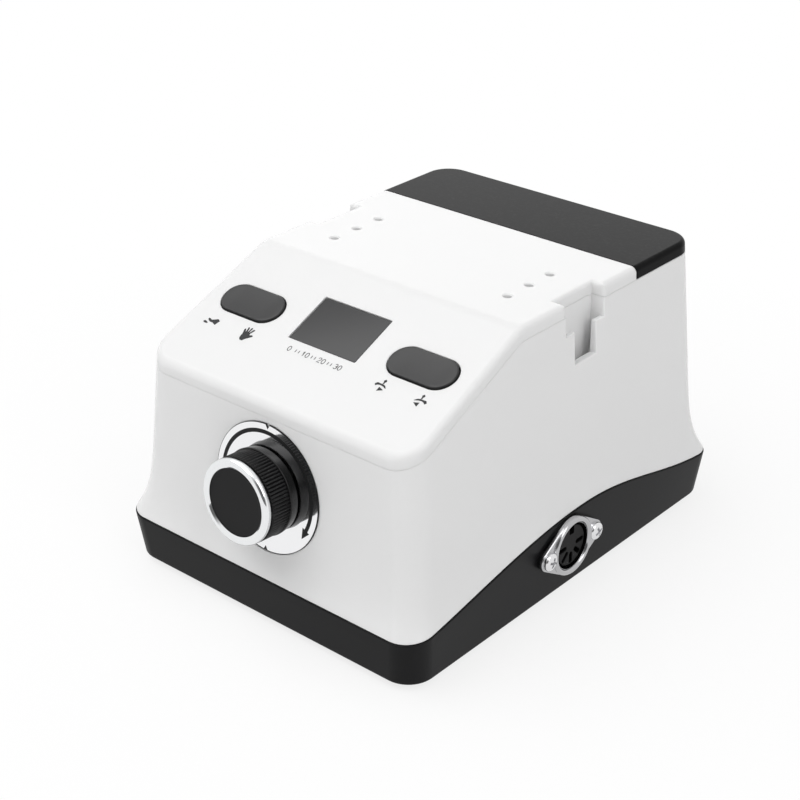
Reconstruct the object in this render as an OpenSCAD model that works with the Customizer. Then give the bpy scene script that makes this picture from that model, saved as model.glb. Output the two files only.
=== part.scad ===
// Desktop control box of a nail drill machine, taken apart into the pieces it is assembled from.
// Lengths are in millimetres and angles in degrees. The knob faces -Y, the motor socket +X, up is +Z.

/* [Case] */
// Width of the case at the tray's rim
rim_w = 113; // [107:1:124]
// Depth of the case at the tray's rim
rim_d = 148; // [142:1:160]
// Height of the flat top above the tray's underside
case_h = 86.4; // [82:0.2:94]
// Height of the tray's rim above its underside, at the front and back
rim_h = 14.2; // [12:0.2:16]
// Rise of the rim towards the middle of each side
hump_h = 10.4; // [8:0.2:12]
// Place of the highest point of the rim along the depth
crest_y = 4; // [-4:1:10]
// Radius of the upright corners
corner_r = 8.5; // [7.5:0.5:10]
// Lean of the body's walls
wall_lean = 4; // [3:0.5:5]
// How far the walls sweep out at their foot
flare = 3.2; // [2:0.1:4]
// Height over which that sweep fades out
flare_h = 28; // [24:1:30]
// Inset of the tray's underside from its rim
tray_taper = 1.5; // [0.8:0.1:2.5]
// Chamfer around the tray's underside
tray_edge = 1; // [0.5:0.1:1.5]
// Thickness of the tray's floor
floor_t = 2.4; // [2:0.1:3]
// Thickness of the moulded walls
wall = 2.2; // [1.8:0.1:2.6]
// Gap along the parting lines of the case
seam = 0.25; // [0.1:0.05:0.4]
// Play around pieces that are set into an opening
fit_play = 0.2; // [0.1:0.05:0.3]

/* [Top] */
// Slope of the control panel
panel_tilt = 23.7; // [21:0.1:26]
// Place of the bend between the panel and the flat top
bend_y = -20; // [-24:1:-16]
// Place of the joint between the cover and the rear cap
cap_y = 34.2; // [32:0.2:42]
// Height of the cover's edge above the parting line
lip_h = 3.8; // [3.2:0.1:4.6]
// Rounding of the cover's upper edge
edge_r = 2; // [1.5:0.1:3]
// Rounding of the rear cap's upper edge
cap_edge_r = 0.9; // [0.6:0.1:2]
// Depth of the tongue that the cover and the cap reach into the walls
tongue_h = 2.5; // [1.5:0.1:4]
// Thickness of the tongue
tongue_t = 1.2; // [0.8:0.1:1.6]
// Play between the tongue and the walls
tongue_play = 0.1; // [0.05:0.05:0.2]
// Radius of a bit hole
bit_r = 1.25; // [1.2:0.05:1.6]
// Depth of a bit hole
bit_depth = 11; // [8:0.5:14]
// Distance between bit holes in a row
bit_pitch = 9.9; // [8:0.1:12]
// Distance of each row of bit holes from the middle
bit_x = 32.4; // [28:0.2:35]
// Place of the middle bit hole along the depth
bit_y = 4.3; // [2:0.1:8]
// Wall around a bit hole under the cover
bit_wall = 1.6; // [1:0.1:2.4]

/* [Side slots] */
// Width of a slot's pocket and of the upper part of its opening
slot_w = 18.2; // [16:0.2:20]
// Width of the opening's lower part
slot_neck_w = 10; // [8:0.2:12]
// Height of the opening's upper part below the flat top
slot_step_h = 9.6; // [8:0.2:12]
// Height of the whole opening below the flat top
slot_h = 19.4; // [16:0.2:22]
// Depth of the pocket into the side
slot_depth = 4.3; // [3.6:0.1:5]
// Height of the pocket below the opening
slot_under = 4; // [3:0.5:6]
// Thickness of the wall in front of the pocket, at the top of the walls
slot_lip = 1.1; // [0.9:0.1:1.4]
// Place of the slot along the depth
slot_y = 9; // [6:0.5:12]
// Thickness of the pocket's own walls
slot_wall = 1.6; // [1.2:0.1:2]

/* [Fastenings] */
// Height of a foot
foot_h = 2; // [1.5:0.1:3]
// Radius of a foot
foot_r = 6; // [5:0.5:8]
// Distance of the feet from the middle, across
foot_x = 38; // [34:1:42]
// Distance of the feet from the middle, along the depth
foot_y = 52; // [46:1:56]
// Distance of the case screws from the rim's sides
post_in_x = 10.5; // [10:0.1:11]
// Distance of the case screws from the rim's front and back
post_in_y = 12; // [11.4:0.1:12.6]
// Radius of a screw post
post_r = 3.6; // [3.2:0.1:4]
// Height of the posts' joint above the tray's floor
post_joint_h = 4.6; // [3.5:0.1:6]
// Height of the walls' posts
post_h = 42; // [40:1:46]
// Radius of a small screw's shank
screw_r = 1.5; // [1.3:0.05:1.6]
// Radius of a small screw's head
screw_head_r = 2.7; // [2.4:0.1:2.9]
// Height of a small screw's head
screw_head_h = 1.6; // [1.2:0.1:2]
// Play of a screw in its hole
screw_play = 0.05; // [0.02:0.01:0.1]
// Depth that a case screw reaches into its post
case_screw_l = 12; // [8:1:20]

/* [Speed knob] */
// Height of the knob's axis at the wall, above the tray's underside
knob_h = 40.9; // [38:0.1:42]
// Radius of the dial plate
dial_r = 19.2; // [17:0.1:20]
// Thickness of the dial plate
dial_t = 0.8; // [0.6:0.1:1.2]
// Depth of the dial plate's seat in the wall
dial_seat = 0.3; // [0.2:0.05:0.5]
// Depth of the two notches in the dial plate's edge
dial_notch = 0.9; // [0.5:0.1:1.4]
// Radius of the chrome ring
ring_r = 12.45; // [12:0.05:14]
// Length of the chrome ring
ring_l = 2.6; // [2:0.1:3.5]
// Radius of the knurled barrel over its ribs
barrel_r = 12.5; // [11.5:0.1:12.8]
// Length of the knurled barrel
barrel_l = 6.5; // [5:0.1:8]
// Number of ribs on the barrel
rib_count = 90; // [60:2:100]
// Depth of the grooves between the ribs
rib_depth = 0.35; // [0.2:0.05:0.5]
// Radius of the smooth skirt behind the barrel
skirt_r = 12.8; // [12:0.1:13.4]
// Length of the skirt
skirt_l = 3; // [2.4:0.1:4]
// Gap between the knob and the dial plate
knob_gap = 0.5; // [0.4:0.1:1.2]
// Radius of the knob's black face
face_r = 9.85; // [9:0.05:10.6]
// Thickness of the knob's black face
face_t = 0.8; // [0.6:0.1:1.2]
// Recess of the black face in the ring
face_recess = 0.6; // [0.2:0.1:0.8]
// Radius of the potentiometer's shaft
shaft_r = 3; // [2.5:0.1:3.2]
// Running clearance of the shaft
shaft_play = 0.05; // [0.03:0.01:0.08]
// Radius of the potentiometer's bushing
bushing_r = 4.2; // [3.8:0.1:4.6]
// Radius of the potentiometer's body
pot_r = 8.5; // [8:0.5:10]
// Length of the potentiometer's body
pot_l = 9; // [7:0.5:12]
// Thickness of the potentiometer's nut
pot_nut_t = 2; // [1.6:0.1:2.2]
// Width across flats of the potentiometer's nut
pot_nut_af = 11; // [10.6:0.2:12]

/* [Panel] */
// Width of the display window
window_w = 24.7; // [22:0.1:26]
// Height of the display window along the slope
window_h = 16.9; // [15:0.1:18]
// Thickness of the display window
window_t = 1.2; // [0.8:0.1:1.3]
// Recess of the window below the panel
window_recess = 0.2; // [0.1:0.05:0.4]
// Width of the ledge that the window lies on
window_ledge = 1.8; // [1.2:0.1:2.4]
// Distance of the window's middle below the bend
window_s = 20.5; // [19:0.1:22]
// Length of a panel rocker
rocker_l = 22; // [20:0.1:23]
// Width of a panel rocker
rocker_w = 10.6; // [9.6:0.1:11.4]
// Height of a rocker above the panel
rocker_up = 0.6; // [0.5:0.1:1.4]
// Depth of a rocker's skirt below the panel
rocker_skirt = 2.4; // [2.2:0.1:2.8]
// Distance of the rockers from the middle
rocker_x = 31.7; // [31:0.1:33]
// Distance of the rockers below the bend
rocker_s = 22.8; // [21:0.1:24]
// Gap around a rocker
rocker_gap = 0.45; // [0.4:0.05:0.6]
// Depth of a rocker's pivot below the panel
pivot_d = 4.6; // [4.4:0.1:5]
// Radius of a pivot pin
pin_r = 1; // [0.8:0.05:1.2]
// Running clearance of a pivot pin
pin_play = 0.05; // [0.03:0.01:0.08]
// Depth of the panel board below the panel
board_drop = 9; // [8.6:0.1:11]
// Width of the panel board
panel_board_w = 86; // [84:1:88]
// Height of the panel board along the slope
panel_board_h = 27; // [26:1:30]
// Thickness of the circuit boards
board_t = 1.6; // [1.2:0.1:2]
// Distance of the panel board's posts from the middle
board_post_x = 16.6; // [16.4:0.1:17]
// Distance between the panel board's posts along the slope
board_post_gap = 19; // [18:0.5:21]
// Radius of the panel board's posts
board_post_r = 2.8; // [2.4:0.1:2.9]

/* [Motor socket] */
// Place of the socket along the depth
socket_y = -4.5; // [-9:0.5:0]
// Height of the socket's axis above the tray's underside
socket_h = 15; // [14:0.1:15.2]
// Distance between the socket's screws
socket_pitch = 22.2; // [21.6:0.1:24]
// Radius of the socket's round flange
flange_r = 9.15; // [8.8:0.05:9.6]
// Radius of the flange's ears
ear_r = 3.3; // [3.1:0.1:4.2]
// Thickness of the flange
flange_t = 1.2; // [1:0.1:1.6]
// Distance of the flange from the tray's wall
socket_stand = 0.95; // [0.6:0.05:1.4]
// Height of the flange's raised rim
socket_rim_h = 0.8; // [0.5:0.1:1.2]
// Radius of the socket's barrel
socket_r = 8; // [7.8:0.1:8.2]
// Thickness of the barrel
socket_t = 0.8; // [0.6:0.1:1]
// Length of the barrel behind the flange
socket_l = 12; // [9:0.5:14]
// Radius of the circle of contacts
contact_pcr = 4.2; // [3.6:0.1:4.6]
// Length of a contact's opening
contact_l = 2.6; // [2:0.1:3]
// Width of a contact's opening
contact_w = 1; // [0.8:0.1:1.2]
// Radius of a contact
contact_r = 0.4; // [0.3:0.05:0.45]
// Length of a contact's tail behind the insert
tail_l = 4; // [3:0.5:6]

/* [Back] */
// Height of the inlet and the switch above the tray's underside
back_h = 64; // [63:0.5:66]
// Place of the mains inlet across
inlet_x = -17; // [-19:1:-15]
// Width of the mains inlet's flange
inlet_w = 50; // [48:0.5:52]
// Height of the mains inlet's flange
inlet_h = 22.5; // [21.5:0.5:24]
// Thickness of the back fittings' flanges
bezel_t = 2; // [1.5:0.1:2.5]
// Distance between the inlet's screws
inlet_pitch = 40; // [39:0.5:42]
// Width of the inlet's body
inlet_body_w = 27; // [26.5:0.1:29]
// Height of the inlet's body
inlet_body_h = 19.8; // [19.4:0.1:20.4]
// Depth of the inlet's body behind the wall's face
inlet_body_l = 18; // [17:0.5:20]
// Wall of the inlet's body around its hollow
inlet_wall = 1.5; // [1.2:0.1:1.8]
// Depth of the inlet's hollow
inlet_hollow = 15; // [14:0.5:15.5]
// Distance between the live pins
live_pitch = 14; // [13:0.2:14.4]
// Offset of the earth pin above the live pins
earth_up = 4; // [3:0.1:4.6]
// Width of a pin
blade_w = 4; // [3.6:0.1:4.2]
// Thickness of a pin
blade_t = 2; // [1.8:0.1:2.2]
// Free length of a pin
blade_l = 10; // [8:0.5:11]
// Place of the power switch across
switch_x = 22; // [21:0.5:23]
// Width of the power switch's bezel
switch_w = 21; // [20.5:0.1:22]
// Height of the power switch's bezel
switch_h = 15; // [14.5:0.1:16]
// Length of the power rocker
power_l = 16.6; // [15:0.1:17]
// Width of the power rocker
power_w = 10; // [9:0.1:10.6]
// Tip of the power rocker from level
power_tip = 8; // [5:0.5:9]
// Place of the pedal jack across
jack_x = 30.5; // [30:0.1:33]
// Height of the pedal jack above the tray's underside
jack_h = 48.5; // [47:0.5:50]
// Radius of the pedal jack's bore
jack_bore_r = 3.25; // [3.2:0.01:3.4]
// Radius of the pedal jack's bushing
jack_r = 4.5; // [4.2:0.1:4.8]
// Depth of the pedal jack's bore from its mouth
jack_depth = 17; // [15:0.5:19]
// Width across flats of the pedal jack's nut
jack_nut_af = 12; // [11:0.2:12.4]
// Thickness of the pedal jack's nut
jack_nut_t = 2; // [1.6:0.1:2.6]

/* [Inside] */
// Width of the transformer's core
core_w = 57; // [54:1:60]
// Stack of the transformer's core, along the depth
core_d = 28; // [24:1:30]
// Height of the transformer's core
core_h = 47.5; // [44:0.5:48]
// Width of the core's outer legs
core_leg = 9.5; // [8:0.5:10]
// Thickness of the winding
coil_t = 8.5; // [7:0.5:9]
// Gap between the winding and the core
coil_gap = 0.1; // [0.05:0.05:0.3]
// Place of the transformer across
core_x = -6; // [-10:1:2]
// Place of the transformer along the depth
core_y = 34; // [30:1:36]
// Thickness of the transformer's strap
strap_t = 1; // [0.8:0.1:1.5]
// Length of the strap's feet
strap_foot = 9; // [8:0.5:10]
// Width of the control board
board_w = 76; // [70:1:78]
// Depth of the control board
board_d = 44; // [42:1:46]
// Place of the control board along the depth
board_y = -38; // [-39:1:-37]
// Height of the control board above the tray's floor
board_up = 7; // [6:0.5:9]
// Distance of the control board's screws from its edges
board_screw_in = 4; // [3.5:0.1:5]
// Radius of a capacitor
cap_r = 6.5; // [5:0.5:8]
// Height of a capacitor
cap_h = 22; // [16:1:24]
// Width of the heat sink
sink_w = 30; // [24:1:34]
// Depth of the heat sink
sink_d = 12; // [10:0.5:14]
// Height of the heat sink
sink_h = 20; // [16:1:24]
// Number of the heat sink's fins
fin_count = 7; // [4:1:9]
// Thickness of a fin
fin_t = 1.2; // [1:0.1:1.6]
// Length of a plug on the control board
plug_l = 10; // [8:0.5:12]
// Radius of the fuse
fuse_r = 2.6; // [2.2:0.1:3]
// Length of the fuse
fuse_l = 20; // [16:1:24]

/* [Hidden] */
$fn = 64;
// How far a cutter runs past the face that it cuts
over = 1;
corner_steps = 5;
panel_steps = 4;
flat_steps = 8;
fade_steps = 6;
edge_steps = 3;
screw_cross_l = 1.2*screw_head_r;
screw_cross_w = screw_head_r/4;
sink_play = 4*screw_play;
hump_bow = 1.2;
side_steps = panel_steps + flat_steps;
half_count = 2*corner_steps + side_steps + 1;
slope = tan(wall_lean);
rim_z = foot_h + rim_h;
top_z = foot_h + case_h;
floor_z = foot_h + floor_t;
joint_z = floor_z + post_joint_h;
flare_power = 4;
panel_t = wall*cos(panel_tilt);
flat_part_z = top_z - lip_h;
crown_inset = flare + slope*(flat_part_z - rim_z);
crown_x = rim_w/2 - crown_inset;
slot_x = crown_x - slot_depth;
slot_z = top_z - slot_h - slot_under;
slot_root = crown_x - wall/8;
cover_root = crown_x - wall/3;
post_x = rim_w/2 - post_in_x;
post_y = rim_d/2 - post_in_y;

function mix(a, b, t) = a + (b - a)*t;

// Share of the hump's rise along the depth: a long climb from the front, a soft fall to the back
function rise(y) =
    y < crest_y
    ? sin(90*pow(max(0, y + rim_d/2)/(crest_y + rim_d/2), hump_bow))
    : pow(sin(90*max(0, rim_d/2 - y)/(rim_d/2 - crest_y)), 2);
function rim_at(y) = rim_z + hump_h*rise(y);
function top_at(y) = top_z - max(0, bend_y - y)*tan(panel_tilt);

// Inset of the wall from the rim's outline at a height, where the wall's foot is at foot
function swept(up) = 1 - pow(1 - min(1, max(0, up)/flare_h), flare_power);
function inset(z, foot) = slope*(z - rim_z) + flare*swept(z - foot);

// Corner or side point of a rounded outline, counted along the right half from front to back
function plan(j, in, r) =
    let (
        a = rim_w/2 - in,
        t = rim_d/2 - in - r,
        k = j - corner_steps
    )
    k <= 0 ? [a - r + r*cos(90*k/corner_steps), -t + r*sin(90*k/corner_steps)]
    : k < panel_steps ? [a, mix(-t, bend_y, k/panel_steps)]
    : k < side_steps ? [a, mix(bend_y, t, (k - panel_steps)/flat_steps)]
    : let (turn = 90*(k - side_steps)/corner_steps) [a - r + r*cos(turn), t + r*sin(turn)];

// Full ring from its right half
function ring(half) =
    concat(half, [for (i = [len(half) - 1:-1:0]) [-half[i].x, half[i].y, half[i].z]]);

function foot_of(j) = rim_at(plan(j, 0, corner_r).y);
function part_of(j) =
    let (
        first = top_at(plan(j, crown_inset, corner_r).y) - lip_h,
        spot = plan(j, inset(first, foot_of(j)), corner_r)
    )
    top_at(spot.y) - lip_h;
function shoulder_of(j, r) = part_of(j) + lip_h - r;

// Point of the wall at a height, at a depth under its face
function wall_spot(j, z, depth) =
    let (p = plan(j, inset(z, foot_of(j)) + depth, corner_r - depth)) [p.x, p.y, z];
function wall_level(j, k) =
    k > fade_steps ? part_of(j) - seam : foot_of(j) + seam + flare_h*pow(k/fade_steps, 2);
function wall_ring(k, depth) =
    ring([for (j = [0:half_count - 1]) wall_spot(j, wall_level(j, k), depth)]);
// Ring of the wall at a height above the parting line
function part_ring(up, depth) =
    ring([for (j = [0:half_count - 1]) wall_spot(j, part_of(j) + up, depth)]);
function tray_ring(z, in, r) =
    ring([for (j = [0:half_count - 1]) let (p = plan(j, in, r)) [p.x, p.y, z]]);
function rim_ring(depth) = ring([for (j = [0:half_count - 1]) wall_spot(j, foot_of(j), depth)]);

// Ring of the crown, back from its shoulder and below its face, where its edge is rounded with a radius
function crown_ring(r, back, drop) =
    ring([
        for (j = [0:half_count - 1])
        let (p = plan(j, inset(shoulder_of(j, r), foot_of(j)) + back, corner_r - back))
        [p.x, p.y, top_at(p.y) - drop]
    ]);

// Faces of the band between two rings of n points that start at points a0 and b0
function band(a0, b0, n) =
    [
        for (i = [0:n - 1])
        let (next = (i + 1) % n)
        each [[a0 + i, b0 + i, a0 + next], [a0 + next, b0 + i, b0 + next]]
    ];
// Faces that close a ring straight across, looking down or up
function lid_down(a0, n) =
    [
        for (i = [0:n/2 - 2])
        let (near = a0 + i, far = a0 + n - 1 - i)
        each [[near, near + 1, far - 1], [near, far - 1, far]]
    ];
function lid_up(a0, n) = [for (f = lid_down(a0, n)) [f[2], f[1], f[0]]];

// Solid through a list of rings, closed at its first and last ring
module loft(rings) {
    n = len(rings[0]);
    last = len(rings) - 1;
    faces = [for (k = [0:last - 1]) each band(k*n, (k + 1)*n, n)];
    polyhedron([for (r = rings) each r], concat(lid_down(0, n), faces, lid_up(last*n, n)));
}

// Solid through a list of rings, whose last ring joins its first
module tube(rings) {
    n = len(rings[0]);
    count = len(rings);
    faces = [for (k = [0:count - 1]) each band(k*n, ((k + 1) % count)*n, n)];
    polyhedron([for (r = rings) each r], faces);
}

// Places on the faces of the case, with Z pointing out of the face
front_y = rim_d/2 - inset(foot_h + knob_h, rim_z);
function back_at(z) = rim_d/2 - inset(z, rim_z);
socket_z = foot_h + socket_h;
socket_rim_z = rim_at(socket_y);
socket_share = (socket_h - tray_edge)/(socket_rim_z - foot_h - tray_edge);
socket_rim_x = rim_w/2 - inset(socket_rim_z, socket_rim_z);
socket_wall_x = mix(rim_w/2 - tray_taper, socket_rim_x, socket_share);
flange_x = socket_wall_x + socket_stand;

module on_front() translate([0, -front_y, foot_h + knob_h]) rotate([90 - wall_lean, 0, 0]) children();
module on_back(x, h)
    translate([x, back_at(foot_h + h), foot_h + h]) rotate([90 - wall_lean, 0, 180]) children();
module on_panel(x, s)
    translate([0, bend_y, top_z]) rotate([panel_tilt, 0, 0]) translate([x, -s, 0]) children();
module on_socket() translate([flange_x, socket_y, socket_z]) rotate([90, 0, 90]) children();
module both_sides() for (side = [0, 1]) mirror([side, 0, 0]) children();
module four_corners(x, y) for (i = [-1, 1], j = [-1, 1]) translate([i*x, j*y, 0]) children();
module post_corners() four_corners(post_x, post_y) children();
module board_corners() four_corners(board_w/2 - board_screw_in, board_d/2 - board_screw_in) children();
// Both places at a distance to the left and right, raised by z
module ends(x, z) for (side = [-1, 1]) translate([side*x, 0, z]) children();
module lift(z) translate([0, 0, z]) children();

// Box on its base, centred across
module block(w, d, h) translate([-w/2, -d/2, 0]) cube([w, d, h]);
// Bar with round ends, on its base
module bar(l, w, h) {
    for (end = [-1, 1]) translate([end*(l - w)/2, 0, 0]) cylinder(r = w/2, h = h);
    block(l - w, w, h);
}
module hexagon(af, h) cylinder(r = af/2/cos(30), h = h, $fn = 6);
// Round head screw pointing down, its head on the plane below it
module screw(l) {
    lift(-l) cylinder(r = screw_r, h = l + over/2);
    difference() {
        cylinder(r = screw_head_r, h = screw_head_h);
        for (turn = [0, 90])
            rotate(turn) lift(screw_head_h/2) block(screw_cross_l, screw_cross_w, screw_head_h);
    }
}
module screw_hole(l) lift(-l) cylinder(r = screw_r + screw_play, h = l + over);

// Pocket of a side slot, grown on every side, out to x_end and up to z_end
module slot_pocket(grow, x_end, z_end)
    translate([slot_x - grow, slot_y - slot_w/2 - grow, slot_z - grow])
        cube([x_end - slot_x + grow, slot_w + 2*grow, z_end - slot_z + grow]);

// Pocket in each side, with a T-shaped opening in the wall in front of it
module side_slots()
    both_sides() {
        slot_pocket(0, crown_x - slot_lip, top_z + over);
        for (part = [[slot_w, slot_step_h], [slot_neck_w, slot_h]])
            translate([slot_x, slot_y - part[0]/2, top_z - part[1]])
                cube([rim_w/2 - slot_x, part[0], part[1] + over]);
    }

// Case
boss_in = 8;
module socket_boss() lift(-boss_in) cylinder(r = ear_r - 0.3, h = boss_in);

module base_tray()
    color("#37383b")
        difference() {
            union() {
                loft([
                    tray_ring(foot_h, tray_taper + tray_edge, corner_r - tray_edge),
                    tray_ring(foot_h + tray_edge, tray_taper, corner_r),
                    rim_ring(0),
                    rim_ring(wall),
                    tray_ring(floor_z, tray_taper + wall, corner_r - wall)
                ]);
                lift(floor_z - over)
                    post_corners() cylinder(r = post_r, h = joint_z - floor_z + over);
                translate([0, board_y, floor_z - over])
                    board_corners()
                        cylinder(r = post_r, h = board_up + over);
                on_socket() ends(socket_pitch/2, 0) socket_boss();
            }
            post_corners() {
                lift(foot_h - over) cylinder(r = screw_r + screw_play, h = joint_z + over);
                lift(foot_h - over) cylinder(r = screw_head_r + sink_play, h = screw_head_h + over);
            }
            translate([0, board_y, floor_z + board_up])
                board_corners() screw_hole(board_up - over);
            translate([core_x, core_y, floor_z])
                ends(strap_screw_x, 0) screw_hole(floor_t + over);
            on_socket() {
                lift(-boss_in - over) cylinder(r = socket_r + fit_play, h = boss_in + 2*over);
                ends(socket_pitch/2, 0) screw_hole(boss_in - over);
            }
        }

module body_shell()
    color("#f4f4f2")
        difference() {
            union() {
                tube(concat(
                    [for (k = [0:fade_steps + 1]) wall_ring(k, 0)],
                    [for (k = [fade_steps + 1:-1:0]) wall_ring(k, wall)]
                ));
                lift(joint_z) post_corners() cylinder(r = post_r, h = post_h);
                both_sides() slot_pocket(slot_wall, slot_root, flat_part_z);
            }
            side_slots();
            lift(joint_z - over)
                post_corners() cylinder(r = screw_r + screw_play, h = case_screw_l + 2*over);
            on_front() {
                lift(-dial_seat) cylinder(r = dial_r + fit_play, h = flare + over);
                lift(-wall - 2*over) cylinder(r = bushing_r + fit_play, h = wall + 3*over);
            }
            on_back(inlet_x, back_h) {
                lift(-wall - over)
                    block(inlet_body_w + 2*fit_play, inlet_body_h + 2*fit_play, wall + 2*over);
                ends(inlet_pitch/2, 0) screw_hole(wall + over);
            }
            on_back(switch_x, back_h)
                lift(-wall - over)
                    block(switch_body_w + 2*fit_play, switch_body_h + 2*fit_play, wall + 2*over);
            on_back(jack_x, jack_h)
                lift(-wall - over) cylinder(r = jack_r + fit_play, h = wall + 2*over);
        }

module tongue() {
    outer = wall + tongue_play;
    inner = outer + tongue_t;
    root = lip_h - wall/2;
    tube([
        part_ring(-tongue_h, outer),
        part_ring(root, outer),
        part_ring(root, inner),
        part_ring(-tongue_h, inner)
    ]);
}

// Cover and rear cap in one, their upper edge rounded with a radius
module crown(r) {
    loft(concat(
        [crown_ring(r, wall, wall), part_ring(0, wall), part_ring(0, 0)],
        [
            for (k = [0:edge_steps])
            let (turn = 90*k/edge_steps)
            crown_ring(r, r*(1 - cos(turn)), r*(1 - sin(turn)))
        ]
    ));
    difference() {
        tongue();
        both_sides() slot_pocket(slot_wall + fit_play, rim_w/2, top_z);
    }
}

// Space behind the joint of cover and cap
module behind_joint() translate([-rim_w, cap_y, 0]) cube([2*rim_w, rim_d, top_z + over]);

bit_places = [for (i = [-1, 1], j = [-1:1]) [i*bit_x, bit_y + j*bit_pitch, top_z]];
board_post_places = [for (i = [-1, 1], j = [-1, 1]) [i*board_post_x, -window_s + j*board_post_gap/2, 0]];

module top_cover()
    color("#f6f6f4")
        difference() {
            union() {
                difference() {
                    crown(edge_r);
                    translate([0, -seam/2, 0]) behind_joint();
                }
                for (place = bit_places)
                    translate(place - [0, 0, bit_depth + bit_wall])
                        cylinder(r = bit_r + bit_wall, h = bit_depth + bit_wall - wall/2);
                on_panel(0, 0)
                    for (place = board_post_places)
                        translate(place - [0, 0, board_drop])
                            cylinder(r = board_post_r, h = board_drop - panel_t/2);
                both_sides()
                    translate([slot_x - slot_wall, slot_y - slot_w/2 - slot_wall, flat_part_z])
                        cube([cover_root - slot_x + slot_wall, slot_w + 2*slot_wall, lip_h - wall/2]);
            }
            side_slots();
            for (place = bit_places)
                translate(place - [0, 0, bit_depth]) cylinder(r = bit_r, h = bit_depth + over);
            on_panel(0, 0)
                for (place = board_post_places)
                    translate(place - [0, 0, board_drop]) mirror([0, 0, 1]) screw_hole(board_screw_l);
            on_panel(0, window_s) {
                lift(-window_recess - window_t)
                    block(window_w + 2*fit_play, window_h + 2*fit_play, window_t + window_recess + over);
                lift(-wall - over)
                    block(window_w - 2*window_ledge, window_h - 2*window_ledge, wall + 2*over);
            }
            for (side = [-1, 1])
                on_panel(side*rocker_x, rocker_s)
                    lift(-wall - over)
                        bar(rocker_l + 2*rocker_gap, rocker_w + 2*rocker_gap, wall + 2*over);
        }

module rear_cap()
    color("#232426")
        intersection() {
            crown(cap_edge_r);
            translate([0, seam/2, 0]) behind_joint();
        }

module rubber_feet()
    color("#1a1a1b")
        four_corners(foot_x, foot_y) cylinder(r1 = foot_r - foot_h/4, r2 = foot_r, h = foot_h);

module case_screws()
    color("#8d9094")
        lift(foot_h + screw_head_h)
            post_corners()
                mirror([0, 0, 1]) screw(joint_z - foot_h - screw_head_h + case_screw_l);

// Speed knob and its potentiometer, along the axis out of the front wall
plate_top = dial_t - dial_seat;
knob_back = plate_top + knob_gap;
barrel_back = knob_back + skirt_l;
ring_back = barrel_back + barrel_l;
ring_front = ring_back + ring_l;
face_back = ring_front - face_recess - face_t;
nut_top = plate_top + pot_nut_t;
bushing_end = 1;
bushing_top = nut_top + bushing_end;
pocket_gap = 0.6;
pocket_top = bushing_top + pocket_gap;
pocket_r = pot_nut_af/2/cos(30) + pocket_gap;
shaft_in = 5;

module dial_plate()
    color("#d9dadc")
        on_front()
            lift(-dial_seat)
                difference() {
                    cylinder(r = dial_r, h = dial_t);
                    lift(-over) cylinder(r = bushing_r + fit_play, h = dial_t + 2*over);
                    for (end = [-1, 1])
                        translate([0, end*dial_r, -over])
                            cylinder(r = dial_notch, h = dial_t + 2*over, $fn = 4);
                }

module pot_body()
    color("#8b8d8f")
        on_front()
            difference() {
                union() {
                    lift(-wall - pot_l) cylinder(r = pot_r, h = pot_l);
                    lift(-wall - pot_l/2) cylinder(r = bushing_r, h = wall + pot_l/2 + bushing_top);
                }
                lift(-wall - shaft_in)
                    cylinder(r = shaft_r + shaft_play, h = ring_front + wall + shaft_in);
            }

module pot_nut()
    color("#c8c9cb")
        on_front()
            lift(plate_top)
                difference() {
                    hexagon(pot_nut_af, pot_nut_t);
                    lift(-over) cylinder(r = bushing_r + screw_play, h = pot_nut_t + 2*over);
                }

module pot_shaft()
    color("#b9bbbd")
        on_front()
            lift(-wall - shaft_in + shaft_play)
                cylinder(r = shaft_r, h = wall + shaft_in - shaft_play + ring_back);

// Outline of the ribbed barrel
rib_outline = [
    for (i = [0:2*rib_count - 1])
    let (r = i % 2 == 0 ? barrel_r : barrel_r - rib_depth, turn = 180*i/rib_count)
    r*[cos(turn), sin(turn)]
];

module knob_grip()
    color("#1f2022")
        on_front()
            difference() {
                union() {
                    lift(knob_back) cylinder(r = skirt_r, h = skirt_l);
                    lift(barrel_back - over) linear_extrude(barrel_l + over) polygon(rib_outline);
                    lift(ring_back - over) cylinder(r = face_r, h = face_back - ring_back + over);
                }
                lift(knob_back - over) cylinder(r = pocket_r, h = pocket_top - knob_back + over);
                lift(knob_back)
                    cylinder(r = shaft_r + shaft_play, h = ring_back - knob_back + shaft_play);
            }

module knob_ring()
    color("#dfe1e3")
        on_front()
            lift(ring_back)
                rotate_extrude()
                    polygon(concat(
                        [[face_r + screw_play, 0], [ring_r - ring_l/2, 0]],
                        [for (turn = [-60:20:60]) [ring_r, 0] + ring_l/2*[cos(turn) - 1, sin(turn) + 1]],
                        [[ring_r - ring_l/2, ring_l], [face_r + screw_play, ring_l]]
                    ));

module knob_cap()
    color("#26272a") on_front() lift(face_back) cylinder(r = face_r, h = face_t);

// Display and rockers, in the panel's own slope
cheek_l = 6;
cheek_t = 1.5;
pin_wall = 0.6;
hub_gap = 0.3;
hub_r = pin_r + pin_wall;
switch_base_w = rocker_w - 2*rocker_gap;
hub_l = switch_base_w - 2*cheek_t - 2*hub_gap;
switch_base_h = board_drop - pivot_d - hub_r - hub_gap;
cheek_h = board_drop - pivot_d + pin_r + pin_wall;
board_screw_l = 5;

module display_window()
    color("#15161a")
        on_panel(0, window_s) lift(-window_recess - window_t) block(window_w, window_h, window_t);

module display_module()
    color("#2b2c2f")
        on_panel(0, window_s)
            lift(-board_drop)
                block(
                    window_w - 2*window_ledge - 2*fit_play,
                    window_h - 2*window_ledge - 2*fit_play,
                    board_drop - window_recess - window_t - fit_play
                );

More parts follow.
